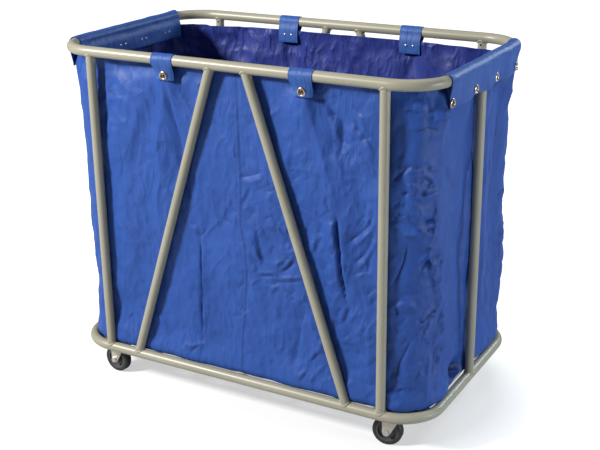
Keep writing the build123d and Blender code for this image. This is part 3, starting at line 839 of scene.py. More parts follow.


# Folds, laid one by one: height of the fold in mm before creaseScale (negative goes inward), how far it
# spreads to the left and to the right in mm, then its points as (run along the wall, height) in metres.
folds = (
    # the pleat under the left stud
    (4.2, 8, 30, ((-0.181, 0.815), (-0.190, 0.760), (-0.203, 0.700), (-0.216, 0.645), (-0.206, 0.590),
                  (-0.221, 0.530), (-0.221, 0.460), (-0.206, 0.415))),
    (-4.6, 26, 7, ((-0.174, 0.815), (-0.163, 0.735), (-0.148, 0.680), (-0.147, 0.610), (-0.128, 0.540))),
    (1.2, 6, 12, ((-0.166, 0.820), (-0.140, 0.795), (-0.110, 0.745), (-0.098, 0.700))),
    (1.0, 8, 14, ((-0.205, 0.815), (-0.240, 0.790), (-0.290, 0.765), (-0.345, 0.762))),
    (0.9, 8, 10, ((-0.150, 0.690), (-0.120, 0.640), (-0.100, 0.590), (-0.094, 0.540))),
    (-1.4, 4, 7, ((-0.195, 0.565), (-0.180, 0.545), (-0.172, 0.530))),
    # the long tuck left of the seam and what gathers at its top and foot
    (-4.0, 3.4, 4.0, ((-0.104, 0.452), (-0.105, 0.400), (-0.106, 0.300), (-0.110, 0.190), (-0.106, 0.150))),
    (3.8, 4, 18, ((-0.100, 0.450), (-0.098, 0.400), (-0.099, 0.300), (-0.103, 0.200), (-0.101, 0.160))),
    (-1.6, 3.5, 4, ((-0.103, 0.444), (-0.093, 0.456), (-0.084, 0.470))),
    (1.6, 4, 5, ((-0.108, 0.446), (-0.120, 0.462), (-0.132, 0.470))),
    (1.4, 4, 5, ((-0.112, 0.452), (-0.115, 0.476))),
    (1.4, 5, 7, ((-0.096, 0.444), (-0.066, 0.476), (-0.040, 0.500), (-0.012, 0.556))),
    (-1.6, 4, 6, ((-0.110, 0.158), (-0.126, 0.148), (-0.142, 0.132))),
    (1.8, 4, 5, ((-0.104, 0.162), (-0.118, 0.160), (-0.134, 0.150), (-0.150, 0.152))),
    (1.6, 4, 5, ((-0.100, 0.170), (-0.124, 0.142), (-0.128, 0.124))),
    (1.5, 4, 6, ((-0.150, 0.160), (-0.158, 0.140), (-0.172, 0.136))),
    # creases pressed in when the bag was packed flat
    (0.55, 3.5, 4, ((-0.372, 0.693), (-0.330, 0.683), (-0.280, 0.674), (-0.220, 0.673), (-0.150, 0.682))),
    (0.55, 3.5, 4, ((-0.380, 0.406), (-0.320, 0.397), (-0.270, 0.400), (-0.215, 0.414))),
    (0.6, 4, 4, ((0.125, 0.656), (0.190, 0.655), (0.250, 0.652), (0.362, 0.650))),
    (-0.7, 3, 4, ((-0.340, 0.178), (-0.328, 0.190), (-0.312, 0.198))),
    (1.3, 4, 6, ((-0.248, 0.222), (-0.232, 0.200), (-0.214, 0.178))),
    (1.2, 4, 6, ((-0.236, 0.214), (-0.222, 0.196), (-0.216, 0.170))),
    (1.1, 5, 7, ((-0.380, 0.160), (-0.340, 0.150), (-0.300, 0.134), (-0.262, 0.128))),
    # beside the upright at the left
    (2.2, 6, 8, ((-0.362, 0.845), (-0.356, 0.780), (-0.352, 0.735))),
    (-1.6, 4, 5, ((-0.370, 0.790), (-0.364, 0.750), (-0.366, 0.700), (-0.362, 0.640))),
    (1.0, 4, 6, ((-0.352, 0.765), (-0.330, 0.762), (-0.312, 0.770))),
    (1.0, 5, 6, ((-0.360, 0.705), (-0.330, 0.702), (-0.300, 0.712))),
    (0.9, 5, 6, ((-0.358, 0.600), (-0.340, 0.610), (-0.326, 0.628))),
    # across the seam
    (-1.7, 3.5, 6, ((0.014, 0.610), (0.046, 0.620), (0.082, 0.636))),
    (1.3, 4, 6, ((0.018, 0.600), (0.050, 0.606), (0.084, 0.622))),
    (-1.3, 4, 5, ((0.060, 0.588), (0.084, 0.600), (0.104, 0.612))),
    (1.3, 4, 5, ((0.018, 0.550), (0.030, 0.572), (0.040, 0.600))),
    (-1.1, 4, 5, ((0.024, 0.548), (0.036, 0.566), (0.046, 0.594))),
    (1.2, 4, 5, ((-0.016, 0.560), (-0.008, 0.540), (0.004, 0.530))),
    (-1.2, 3.5, 5, ((-0.012, 0.552), (-0.002, 0.532), (0.010, 0.520))),
    (-1.0, 4, 6, ((-0.048, 0.506), (-0.030, 0.500), (0.004, 0.490))),
    (1.4, 5, 9, ((-0.008, 0.680), (0.004, 0.672), (0.010, 0.660))),
    # the crumpled patch between the seam and the right brace
    (-2.0, 5, 6, ((0.054, 0.520), (0.060, 0.470), (0.064, 0.430), (0.074, 0.408), (0.094, 0.400))),
    (1.6, 5, 9, ((0.030, 0.485), (0.046, 0.450), (0.062, 0.414))),
    (-2.2, 4, 7, ((0.090, 0.548), (0.106, 0.522), (0.130, 0.490), (0.158, 0.452))),
    (1.6, 6, 6, ((0.084, 0.560), (0.098, 0.536), (0.122, 0.508), (0.150, 0.474))),
    (2.0, 4, 5, ((0.055, 0.384), (0.078, 0.386), (0.098, 0.391), (0.112, 0.380))),
    (-1.8, 3.5, 4, ((0.060, 0.376), (0.084, 0.379), (0.104, 0.384))),
    (2.0, 4, 5, ((0.100, 0.374), (0.130, 0.382), (0.160, 0.390), (0.188, 0.393))),
    (-1.8, 4, 4, ((0.108, 0.366), (0.140, 0.375), (0.176, 0.384))),
    (2.2, 4, 5, ((0.114, 0.398), (0.134, 0.414), (0.150, 0.436), (0.158, 0.450))),
    (-2.0, 4, 4, ((0.122, 0.396), (0.142, 0.412), (0.156, 0.430))),
    (1.8, 4, 5, ((0.104, 0.408), (0.122, 0.424), (0.136, 0.440))),
    (-1.5, 4, 5, ((0.130, 0.356), (0.146, 0.344), (0.152, 0.326))),
    (1.5, 4, 5, ((0.160, 0.364), (0.178, 0.346), (0.186, 0.330))),
    (1.3, 5, 6, ((0.066, 0.356), (0.090, 0.352), (0.116, 0.356))),
    # down towards the foot of the right brace
    (-3.0, 26, 6, ((0.186, 0.330), (0.172, 0.270), (0.158, 0.190), (0.149, 0.145))),
    (1.8, 7, 9, ((0.192, 0.300), (0.206, 0.262), (0.218, 0.238), (0.236, 0.222))),
    (1.8, 5, 6, ((0.236, 0.238), (0.206, 0.206), (0.188, 0.160), (0.160, 0.126))),
    (-1.6, 4, 5, ((0.226, 0.214), (0.198, 0.186), (0.184, 0.146), (0.168, 0.124))),
    (1.4, 5, 6, ((0.240, 0.190), (0.214, 0.160), (0.196, 0.128))),
    (1.2, 10, 12, ((0.020, 0.240), (0.040, 0.180), (0.058, 0.140))),
    (1.2, 12, 14, ((0.112, 0.330), (0.104, 0.270), (0.094, 0.200))),
    # from the right stud to the long slit
    (2.4, 14, 22, ((0.196, 0.806), (0.214, 0.750), (0.236, 0.680), (0.256, 0.620), (0.268, 0.570))),
    (1.4, 6, 8, ((0.176, 0.812), (0.160, 0.800), (0.154, 0.776))),
    (-1.2, 5, 6, ((0.186, 0.806), (0.180, 0.770), (0.176, 0.735))),
    (-1.8, 4, 8, ((0.238, 0.808), (0.262, 0.786), (0.276, 0.774), (0.278, 0.740), (0.274, 0.690))),
    (1.6, 6, 6, ((0.222, 0.812), (0.250, 0.780), (0.264, 0.756), (0.264, 0.716))),
    (-2.2, 4, 6, ((0.309, 0.788), (0.316, 0.764), (0.336, 0.744), (0.364, 0.714))),
    (1.5, 5, 6, ((0.300, 0.790), (0.306, 0.756), (0.328, 0.732), (0.352, 0.706))),
    (-1.6, 4, 5, ((0.243, 0.604), (0.242, 0.584), (0.250, 0.560))),
    (-5.6, 3.4, 3.8, ((0.266, 0.566), (0.270, 0.510), (0.276, 0.450), (0.282, 0.400), (0.293, 0.348))),
    (2.4, 4.5, 16, ((0.274, 0.560), (0.278, 0.500), (0.285, 0.440), (0.292, 0.390))),
    (2.0, 14, 5, ((0.259, 0.550), (0.264, 0.490), (0.270, 0.430), (0.276, 0.380))),
    (-2.2, 4, 6, ((0.358, 0.590), (0.348, 0.552), (0.322, 0.524), (0.288, 0.496))),
    (2.0, 5, 5, ((0.366, 0.570), (0.352, 0.536), (0.326, 0.508), (0.300, 0.488))),
    (-1.8, 4, 6, ((0.338, 0.612), (0.334, 0.572), (0.312, 0.538))),
    (-2.2, 4, 6, ((0.362, 0.540), (0.350, 0.508), (0.332, 0.476), (0.306, 0.452))),
    (1.8, 5, 5, ((0.366, 0.520), (0.352, 0.490), (0.336, 0.462), (0.316, 0.440))),
    (-1.6, 4, 5, ((0.362, 0.496), (0.348, 0.470), (0.344, 0.436))),
    (-1.0, 4, 4, ((0.302, 0.426), (0.326, 0.436), (0.350, 0.442))),
    (1.8, 5, 7, ((0.294, 0.350), (0.284, 0.328), (0.274, 0.300), (0.280, 0.272))),
    (-1.8, 4, 6, ((0.300, 0.346), (0.292, 0.320), (0.284, 0.300))),
    (1.6, 5, 6, ((0.300, 0.310), (0.316, 0.330), (0.326, 0.356))),
    (1.4, 8, 10, ((0.340, 0.350), (0.346, 0.300), (0.350, 0.230), (0.344, 0.160))),
    (1.3, 8, 10, ((0.262, 0.700), (0.272, 0.670), (0.290, 0.655))),
    (1.4, 6, 8, ((0.330, 0.690), (0.346, 0.672), (0.362, 0.664))),
    # round the front right corner
    (-3.2, 3.5, 5, ((0.434, 0.520), (0.427, 0.480), (0.416, 0.445), (0.402, 0.415))),
    (-3.0, 4, 6, ((0.400, 0.655), (0.414, 0.674), (0.436, 0.694))),
    (-2.4, 4, 5, ((0.448, 0.296), (0.434, 0.262), (0.420, 0.226), (0.414, 0.190))),
    (-2.2, 4, 6, ((0.444, 0.768), (0.468, 0.776), (0.490, 0.762))),
    (2.6, 5, 8, ((0.436, 0.668), (0.462, 0.676), (0.484, 0.660), (0.496, 0.632))),
    (-2.6, 4, 6, ((0.446, 0.656), (0.468, 0.664), (0.486, 0.648))),
    (1.6, 6, 8, ((0.410, 0.372), (0.436, 0.378), (0.456, 0.360))),
    (3.4, 5, 6, ((0.503, 0.640), (0.497, 0.590), (0.492, 0.545), (0.480, 0.505))),
    (4.4, 4, 5, ((0.454, 0.464), (0.466, 0.484), (0.482, 0.500), (0.500, 0.510))),
    (-3.2, 4, 4, ((0.460, 0.456), (0.478, 0.474), (0.492, 0.480))),
    (4.6, 4, 5, ((0.482, 0.502), (0.484, 0.455), (0.500, 0.404), (0.520, 0.408), (0.544, 0.426))),
    (3.6, 4, 5, ((0.500, 0.506), (0.516, 0.486), (0.532, 0.462), (0.542, 0.430))),
    (-3.0, 5, 5, ((0.496, 0.486), (0.500, 0.450), (0.512, 0.422))),
    (4.2, 4, 5, ((0.503, 0.404), (0.510, 0.378), (0.520, 0.350))),
    (3.0, 4, 5, ((0.518, 0.400), (0.528, 0.372), (0.526, 0.350))),
    (4.4, 4, 5, ((0.520, 0.354), (0.500, 0.352), (0.478, 0.334), (0.456, 0.304))),
    (-3.4, 5, 5, ((0.512, 0.336), (0.494, 0.330), (0.480, 0.312), (0.470, 0.292))),
    (4.0, 4, 5, ((0.520, 0.344), (0.544, 0.330), (0.554, 0.290), (0.568, 0.262))),
    (3.8, 4, 5, ((0.568, 0.262), (0.540, 0.264), (0.514, 0.262), (0.510, 0.300), (0.518, 0.330))),
    (-3.4, 7, 7, ((0.532, 0.320), (0.534, 0.290), (0.532, 0.274))),
    (3.6, 5, 6, ((0.468, 0.302), (0.484, 0.280), (0.498, 0.262))),
    (3.8, 4, 5, ((0.516, 0.262), (0.540, 0.248), (0.572, 0.224))),
    (4.0, 4, 5, ((0.524, 0.250), (0.534, 0.220), (0.530, 0.190), (0.514, 0.172))),
    (-2.8, 5, 6, ((0.514, 0.250), (0.516, 0.210), (0.510, 0.180))),
    (2.4, 6, 9, ((0.492, 0.260), (0.486, 0.210), (0.482, 0.160), (0.480, 0.124))),
    (2.0, 6, 8, ((0.560, 0.170), (0.580, 0.150), (0.592, 0.130))),
    (2.0, 5, 7, ((0.410, 0.200), (0.428, 0.182), (0.436, 0.150))),
    (2.0, 5, 7, ((0.404, 0.160), (0.422, 0.170), (0.444, 0.176), (0.456, 0.166))),
    # the right wall
    (2.2, 20, 26, ((0.500, 0.720), (0.540, 0.680), (0.600, 0.630), (0.640, 0.600))),
    (-1.8, 16, 20, ((0.520, 0.680), (0.560, 0.640), (0.610, 0.600))),
    (-4.0, 20, 7, ((0.706, 0.700), (0.676, 0.620), (0.668, 0.520), (0.662, 0.400), (0.672, 0.250),
                   (0.690, 0.140))),
    (3.6, 6, 10, ((0.708, 0.640), (0.700, 0.540), (0.704, 0.430), (0.712, 0.330))),
    (-2.6, 5, 8, ((0.726, 0.700), (0.722, 0.560), (0.728, 0.400), (0.736, 0.250))),
    (2.6, 8, 22, ((0.786, 0.780), (0.790, 0.640), (0.796, 0.500), (0.800, 0.340), (0.794, 0.200))),
    (-2.0, 18, 10, ((0.846, 0.780), (0.852, 0.700), (0.842, 0.560), (0.836, 0.400))),
    (1.6, 6, 8, ((0.606, 0.486), (0.620, 0.494), (0.634, 0.506))),
    (1.2, 12, 16, ((0.620, 0.300), (0.628, 0.250), (0.626, 0.200))),
    (1.6, 8, 12, ((0.850, 0.290), (0.846, 0.250), (0.830, 0.210))),
    (2.0, 14, 18, ((0.885, 0.720), (0.876, 0.600), (0.866, 0.500))),
    (-2.2, 12, 14, ((0.905, 0.440), (0.915, 0.330), (0.930, 0.240), (0.950, 0.160))),
    (2.4, 14, 16, ((0.930, 0.420), (0.955, 0.330), (0.975, 0.260))),
)
# Loose crumples, scattered over patches of the wall: from and to as (run, height), how many, their
# mean slope and its spread in degrees, shortest and longest in mm, and height in mm before creaseScale.
crumples = (
    ((-0.36, 0.13), (-0.02, 0.82), 70, (70, 60), (25, 80), 0.55),
    ((0.00, 0.12), (0.36, 0.83), 150, (45, 70), (18, 60), 0.95),
    ((0.00, 0.33), (0.19, 0.62), 60, (40, 50), (14, 40), 1.2),
    ((0.20, 0.13), (0.36, 0.62), 60, (60, 35), (18, 50), 1.3),
    ((0.40, 0.56), (0.48, 0.72), 50, (50, 60), (10, 26), 1.6),
    ((0.435, 0.52), (0.505, 0.84), 26, (-6, 14), (26, 56), 2.6),
    ((0.40, 0.13), (0.52, 0.52), 60, (60, 60), (16, 46), 1.5),
    ((0.53, 0.13), (0.93, 0.80), 80, (78, 30), (25, 80), 0.8),
    ((0.90, 0.13), (1.05, 0.82), 70, (20, 40), (25, 70), 1.5),
    ((1.02, 0.13), (1.413, 0.83), 150, (40, 70), (25, 80), 1.3),
    ((-1.413, 0.13), (-1.02, 0.83), 150, (-40, 70), (25, 80), 1.3),
    ((-1.05, 0.13), (-0.90, 0.82), 60, (10, 50), (25, 70), 1.4),
    ((-0.93, 0.13), (-0.50, 0.80), 90, (80, 40), (25, 80), 0.9),
    ((-0.52, 0.13), (-0.38, 0.82), 60, (20, 50), (18, 50), 1.1),
)
# Where the cloth stands fuller than its flat wall: run, height, mm outward, spread along and up.
bulges = (
    (0.962, 0.66, 18, 0.062, 0.26), (0.965, 0.29, 25, 0.058, 0.13), (0.385, 0.62, 9, 0.045, 0.24),
    (0.4, 0.28, 6, 0.05, 0.2), (-0.385, 0.62, 9, 0.055, 0.2), (-0.4, 0.36, 3, 0.05, 0.2),
    (-0.455, 0.6, 3, 0.05, 0.3), (-0.46, 0.82, 8, 0.04, 0.05), (0.84, 0.13, 6, 0.08, 0.06),
    (0.45, 0.5, 5, 0.04, 0.4), (-0.98, 0.5, 9, 0.07, 0.35), (1.02, 0.45, 6, 0.05, 0.35),
    (-0.33, 0.45, 5, 0.04, 0.25), (0.64, 0.13, -29, 0.04, 0.034), (0.672, 0.122, -17, 0.026, 0.028),
    (0.55, 0.12, 7, 0.05, 0.03), (0.665, 0.35, 2, 0.05, 0.25), (0.3, 0.3, 3, 0.05, 0.2),
    (0.965, 0.2, 10, 0.05, 0.05), (-0.48, 0.33, -7, 0.07, 0.12),
)
looseWaves = ((0.0042, 9, 4, 3.0), (0.0011, 26, 17, 8.0), (0.0006, 70, 55, 4.0))  # height, scales, seed
fullness = {
    "all": 0.0025, "foot": 0.0095, "footHigh": 0.085, "footWave": 0.0035, "footFade": (-0.006, 0.012),
    "hemLift": 0.006, "hemHigh": 0.06, "hemFade": (0.004, 0.034), "tailHigh": 0.05,
}
creaseScale = {"fold": 2.2, "crumple": 1.9}
scatter = {"seed": 11, "bow": 0.25, "rise": (0.45, 1.35), "wide": (3.5, 9)}
paintedCreaseShade = {"full": 0.0012, "most": 0.75}  # a point this far below its neighbours gets the darkest painted shade
seamLine = ((0.010, 0.850), (0.012, 0.700), (0.014, 0.600), (0.012, 0.500), (0.024, 0.440),
            (0.026, 0.380), (0.018, 0.300), (0.008, 0.200), (0.007, 0.110))
hem = {"deep": 0.016, "rise": 0.0006}
seam = {
    "half": 0.0048, "rise": 0.0007, "groove": 0.0008, "grooveWide": 0.0022, "near": 0.02, "reach": 0.05,
    "dark": 0.003, "darkHalf": 0.0036,  # how deep and how wide it counts in the painted crease shade
}


def foldProfile(u, height, left, right):
    # A crease's section: it falls away from the fold's line, faster on its short side.
    return height * exp(-abs(u) / (left if u < 0 else right))


def scatterCrumples():
    draw = random.Random(scatter["seed"])
    made = []
    for low, high, count, slope, lengths, tall in crumples:
        for _ in range(count):
            run = draw.uniform(low[0], high[0])
            height = draw.uniform(low[1], high[1])
            tilt = radians(draw.gauss(slope[0], slope[1] / 2))
            half = draw.uniform(*lengths) / 2000
            bow = draw.uniform(-scatter["bow"], scatter["bow"]) * half
            rise = creaseScale["crumple"] * tall * draw.uniform(*scatter["rise"])
            rise *= draw.choice((-1, 1, 1))
            along = Vector((cos(tilt), sin(tilt)))
            across = Vector((-along.y, along.x))
            centre = Vector((run, height))
            points = tuple(
                tuple(centre + along * half * t + across * bow * (1 - t * t)) for t in (1, 0.35, -0.35, -1)
            )
            made.append((rise, draw.uniform(*scatter["wide"]), draw.uniform(*scatter["wide"]), points))
    return made


def layFolds(spots):
    # spots: (run, height) of each wall vertex, by index. Gives how far each is moved outward.
    cell = 0.02
    boxes = {}
    for index, (run, height) in spots.items():
        boxes.setdefault((int(run // cell), int(height // cell)), []).append(index)
    moved = dict.fromkeys(spots, 0.0)
    hand = [(rise * creaseScale["fold"], left, right, points) for rise, left, right, points in folds]
    for rise, left, right, points in hand + scatterCrumples():
        reach = 4.0 * max(left, right) / 1000
        path = [Vector(p) for p in points]
        lengths = [(b - a).length for a, b in zip(path, path[1:])]
        total = sum(lengths)
        low = (min(p.x for p in path) - reach, min(p.y for p in path) - reach)
        high = (max(p.x for p in path) + reach, max(p.y for p in path) + reach)
        for i in range(int(low[0] // cell), int(high[0] // cell) + 1):
            for j in range(int(low[1] // cell), int(high[1] // cell) + 1):
                for index in boxes.get((i, j), ()):
                    moved[index] += foldAt(Vector(spots[index]), path, lengths, total, rise, left, right)
    return moved


def foldAt(spot, path, lengths, total, rise, left, right):
    nearest = None
    done = 0.0
    for a, b, length in zip(path, path[1:], lengths):
        line = (b - a) / length
        share = min(max((spot - a).dot(line), 0.0), length)
        away = spot - a - line * share
        if nearest is None or away.length < nearest[0]:
            side = 1 if line.cross(spot - a) > 0 else -1  # 1 is to the right of a fold drawn downward
            nearest = (away.length, side, (done + share) / total)
        done += length
    away, side, place = nearest
    ends = min(place, 1 - place) * 2
    taper = fade(ends, -0.12, 0.55)
    return foldProfile(away * side, rise, left / 1000, right / 1000) * taper


def lineAt(points, height):
    for (x1, z1), (x2, z2) in zip(points, points[1:]):
        if z2 <= height <= z1:
            return x2 + (x1 - x2) * (height - z2) / (z1 - z2)
    return points[0][0] if height > points[0][1] else points[-1][0]


def refine(obj):
    # Smaller cells where the cloth is most creased.
    mesh = startEdit(obj)
    bpy.context.tool_settings.mesh_select_mode = (False, False, True)
    layer = mesh.loops.layers.uv["cloth"]
    for face in mesh.faces:
        run = sum(loop[layer].uv.x for loop in face.loops) / len(face.loops)
        height = min(loop[layer].uv.y for loop in face.loops)
        inBand = bag["fineLow"] < height < bag["fineHigh"]
        face.select = inBand and bag["fineFrom"] < run < bag["fineTo"]
    bmesh.update_edit_mesh(obj.data)
    bpy.ops.mesh.subdivide(number_cuts=1, smoothness=0.0, ngon=False)
    stopEdit()


def creaseBag(obj):
    uv = obj.data.uv_layers["cloth"].data
    spots = {}
    for loop in obj.data.loops:
        run, height = uv[loop.index].uv
        if height > 0:
            past = run > bag["girth"] / 2
            spots[loop.vertex_index] = (run - bag["girth"] if past else run, height)
    moved = layFolds(spots)
    normals = {index: obj.data.vertices[index].normal.copy() for index in spots}
    moves = [0.0] * len(obj.data.vertices)
    for index, (run, height) in spots.items():
        vert = obj.data.vertices[index]
        point = vert.co
        drop = bag["top"] - height
        outward = 0.0
        for tall, along, up, seed in looseWaves:
            outward += tall * noise.noise(Vector((run * along, height * up, seed)))
        outward += moved[index] / 1000 + fullness["all"]
        for atRun, atHeight, rise, wide, high in bulges:
            off = ((run - atRun) / wide) ** 2 + ((height - atHeight) / high) ** 2
            if off < 9:
                outward += rise / 1000 * exp(-off) * fade(drop, 0.0, fullness["hemHigh"])
        outward *= fade(drop, *fullness["hemFade"])
        foot = height - bag["low"]
        wave = fullness["footWave"] * noise.noise(Vector((run * 16, 0.5, 6.0)))
        outward *= fade(foot, *fullness["footFade"])
        outward += (fullness["foot"] + wave) * (1 - fade(foot, 0.0, fullness["footHigh"]))
        offSeam = run - bag["seamX"]
        if abs(offSeam) < seam["near"] and drop > 0:
            flat = fade(seam["half"] - abs(offSeam), -0.0015, 0.0015)
            groove = exp(-(((abs(offSeam) - seam["half"]) / seam["grooveWide"]) ** 2))
            outward += seam["rise"] * flat - seam["groove"] * groove
        outward += hem["rise"] * fade(hem["deep"] - drop, -0.0015, 0.0015)
        # The seam counts as sunk only here, so the painted crease shade darkens its line.
        moves[index] = outward - (seam["dark"] if abs(offSeam) < seam["darkHalf"] else 0.0)
        # The inner tails of the straps and flaps lie flat on the bag.
        face = "front" if point.y < 0 else "back"
        onLong = abs(point.y) > bag["halfY"] - 0.03
        strapAway = min(abs(point.x - strapXs[face, end]) for end in ends)
        underTail = onLong and strapAway < strapWidth / 2 + 0.012
        underTail = underTail or (abs(point.x) > bag["halfX"] - 0.03 and abs(point.y) < flapHalf + 0.01)
        if underTail and drop < fullness["tailHigh"]:
            outward = max(outward, 0.0) * fade(drop, 0.0, fullness["tailHigh"])
        vert.co = point + normals[index] * outward
        if point.y < -0.1:
            vert.co.z += fullness["hemLift"] * (1 - fade(drop, 0.0, fullness["hemHigh"]))
        if abs(run) < 0.2 and abs(point.y) > bag["halfY"] - 0.05:
            # The seam wanders: it is drawn to its own line.
            shift = lineAt(seamLine, height) - bag["seamX"]
            vert.co.x += shift * (1 - fade(abs(run - bag["seamX"]), 0.0, seam["reach"]))
    paintCreaseShade(obj, moves)
    print("bag creased:", len(folds), "folds")


def paintCreaseShade(obj, moves):
    # How far each point lies below its neighbours, for the painted shade in the bottoms of the creases.
    total = [0.0] * len(moves)
    count = [0] * len(moves)
    for edge in obj.data.edges:
        a, b = edge.vertices
        total[a] += moves[b]
        total[b] += moves[a]
        count[a] += 1
        count[b] += 1
    layer = obj.data.attributes.new("paintedCreaseShade", "FLOAT", "POINT")
    for index, move in enumerate(moves):
        below = total[index] / max(count[index], 1) - move
        layer.data[index].value = min(max(below / paintedCreaseShade["full"], 0.0), 1.0) * paintedCreaseShade["most"]


def separateFaces(obj, test, name):
    mesh = startEdit(obj)
    bpy.context.tool_settings.mesh_select_mode = (False, False, True)
    for face in mesh.faces:
        face.select = test(face)
    bmesh.update_edit_mesh(obj.data)
    before = set(bpy.data.objects)
    bpy.ops.mesh.separate(type="SELECTED")
    stopEdit()
    new = [o for o in bpy.data.objects if o not in before][0]
    new.name = name
    new.data.name = name
    return new


def makeBag():
    blank = makeBagBlank()
    nameCloth(blank)
    hangBag(blank)
    pick(blank)
    layer = blank.data.attributes.new("panel", "INT", "FACE")
    for face in blank.data.polygons:
        points = [blank.data.uv_layers["cloth"].data[i].uv for i in face.loop_indices]
        run = sum(p.x for p in points) / 4
        if max(p.y for p in points) < -0.5:
            layer.data[face.index].value = 2
        else:
            layer.data[face.index].value = 0 if run < bag["seamX"] and run > bag["seamX"] - 1.41 else 1
    divide = blank.modifiers.new("divide", "SUBSURF")
    divide.levels = 1
    divide.render_levels = 1
    applyModifiers(blank)
    refine(blank)
    creaseBag(blank)
    keepClear(blank, bag["clear"])
    panel = [item.value for item in blank.data.attributes["panel"].data]
    floorPiece = separateFaces(blank, lambda face: panel[face.index] == 2, "bag_floor_panel")
    panel = [item.value for item in blank.data.attributes["panel"].data]
    rightPiece = separateFaces(blank, lambda face: panel[face.index] == 1, "bag_right_panel")
    blank.name = "bag_left_panel"
    pieces = ((blank, "bag_left_half"), (rightPiece, "bag_right_half"), (floorPiece, "bag_floor"))
    for obj, node in pieces:
        thick = obj.modifiers.new("thick", "SOLIDIFY")
        thick.thickness = bag["cloth"]
        thick.offset = -1
        thick.material_offset = 1
        thick.material_offset_rim = 0
        obj.data.materials.clear()
        obj.data.materials.append(cloths["bagOutside"])
        obj.data.materials.append(cloths["bagInside"])
        applyModifiers(obj)
        smooth(obj, 60)
        finished(obj, None)
        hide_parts(node)
    print("bag done")


makeBag()


strap = {
    "clear": 0.0006, "cloth": 0.0014, "tail": 0.047, "innerTail": 0.054, "width": strapWidth,
    "studDrop": 0.036,  # below the rail's centreline
    "tuck": 0.0082,  # how far the stud pulls the tail in under the rail
    "tailRows": 9, "wrapSteps": 14, "columns": 28, "stitchIn": 0.0042, "stitchMid": 0.0065,
    "rivetDrop": 0.033, "groove": 0.0008, "grooveWidth": 0.0014,
    "innerGap": 0.0012,  # from the bag's wall to the inner tail
    "kick": 0.16,  # how much the tail below the stud stands out again
    "fold": 0.006, "narrow": 0.13,  # how its lower corners fold back, and how it narrows at the stud
}
flap = {
    "tail": 0.0555, "innerTail": 0.054, "columns": 72, "tuck": 0.0035, "wave": 0.0026,
    "studDrop": 0.0445, "halfLength": 0.2155, "shift": {"left": 0.0, "right": 0.009},
    "curl": 0.002, "droop": 0.003, "lift": 0.0035, "stitchSteps": 140,
    "stitchRows": ((1, 0.004), (1, 0.0095), (-1, 0.004)),  # outer or inner tail, height above its hem
}
stitch = {"length": 0.0029, "width": 0.0014, "pitch": 0.0037, "sink": 0.0003, "in": 0.004, "steps": 16}
rivet = {"apart": 0.010, "size": 0.88}
innerWall = rail["halfX"] - bag["halfX"] + strap["innerGap"]  # where the inner tails lie, inward of the rail


def chooseEdge(mesh, test):
    # Selects the vertices that pass the test, and the edges between them.
    bpy.context.tool_settings.mesh_select_mode = (True, False, False)
    mesh.select_mode = {"VERT"}
    for face in mesh.faces:
        face.select = False
    for edge in mesh.edges:
        edge.select = False
    for vert in mesh.verts:
        vert.select = test(vert.co)
    mesh.select_flush_mode()


def bandOverRail(name, length, columns, look):
    # A band of cloth over a straight rail along X: it starts as the inner tail on the -Y side of the
    # rail, is spun over it and extruded down on the +Y side. The rail's centreline is the X axis.
    radius = rail["radius"] + strap["clear"]
    bpy.ops.mesh.primitive_grid_add(
        x_subdivisions=columns, y_subdivisions=strap["tailRows"], size=1, rotation=(pi / 2, 0, 0),
        location=(0, -radius, -look["innerTail"] / 2),
    )
    band = added(name)
    band.scale = (length, look["innerTail"], 1)
    applyPlace(band)
    mesh = startEdit(band)
    chooseEdge(mesh, lambda co: co.z > -1e-5)
    bmesh.update_edit_mesh(band.data)
    bpy.ops.mesh.spin(steps=strap["wrapSteps"], angle=pi, center=(0, 0, 0), axis=(1, 0, 0))
    mesh = bmesh.from_edit_mesh(band.data)
    if min(v.co.z for v in mesh.verts if v.co.y > 0.001) < -0.001:
        raise RuntimeError("the strap was spun under the rail")
    chooseEdge(mesh, lambda co: co.y > radius - 1e-5 and co.z < 1e-4)
    bmesh.update_edit_mesh(band.data)
    step = look["tail"] / strap["tailRows"]
    for _ in range(strap["tailRows"]):
        bpy.ops.mesh.extrude_region_move(TRANSFORM_OT_translate={"value": (0, 0, -step)})
    bpy.ops.mesh.select_all(action="SELECT")
    bpy.ops.mesh.remove_doubles(threshold=0.00002)
    bpy.ops.mesh.normals_make_consistent(inside=False)
    stopEdit()
    return band


def clothUv(obj):
    # UV in metres: along the band, and down round the rail.
    layer = obj.data.uv_layers.new(name="cloth")
    for loop in obj.data.loops:
        co = obj.data.vertices[loop.vertex_index].co
        down = co.z
        if co.z > 0:
            turn = atan2(co.z, co.y) if co.y > 0 else pi - atan2(co.z, -co.y)
            down = turn * rail["radius"]
        if co.y < 0:
            down = rail["radius"] * pi - co.z if co.z <= 0 else down
        layer.data[loop.index].uv = (co.x, down)


def thicken(obj, thickness):
    thick = obj.modifiers.new("thick", "SOLIDIFY")
    thick.thickness = thickness
    thick.offset = 1
    thick.use_even_offset = True
    soft = obj.modifiers.new("soft", "BEVEL")
    soft.width = thickness * 0.35
    soft.segments = 2
    soft.limit_method = "ANGLE"
    soft.angle_limit = radians(50)
    applyModifiers(obj)


def strapRows():
    half = strap["width"] / 2 - strap["stitchIn"]
    return (-half, half, -strap["stitchMid"], strap["stitchMid"])


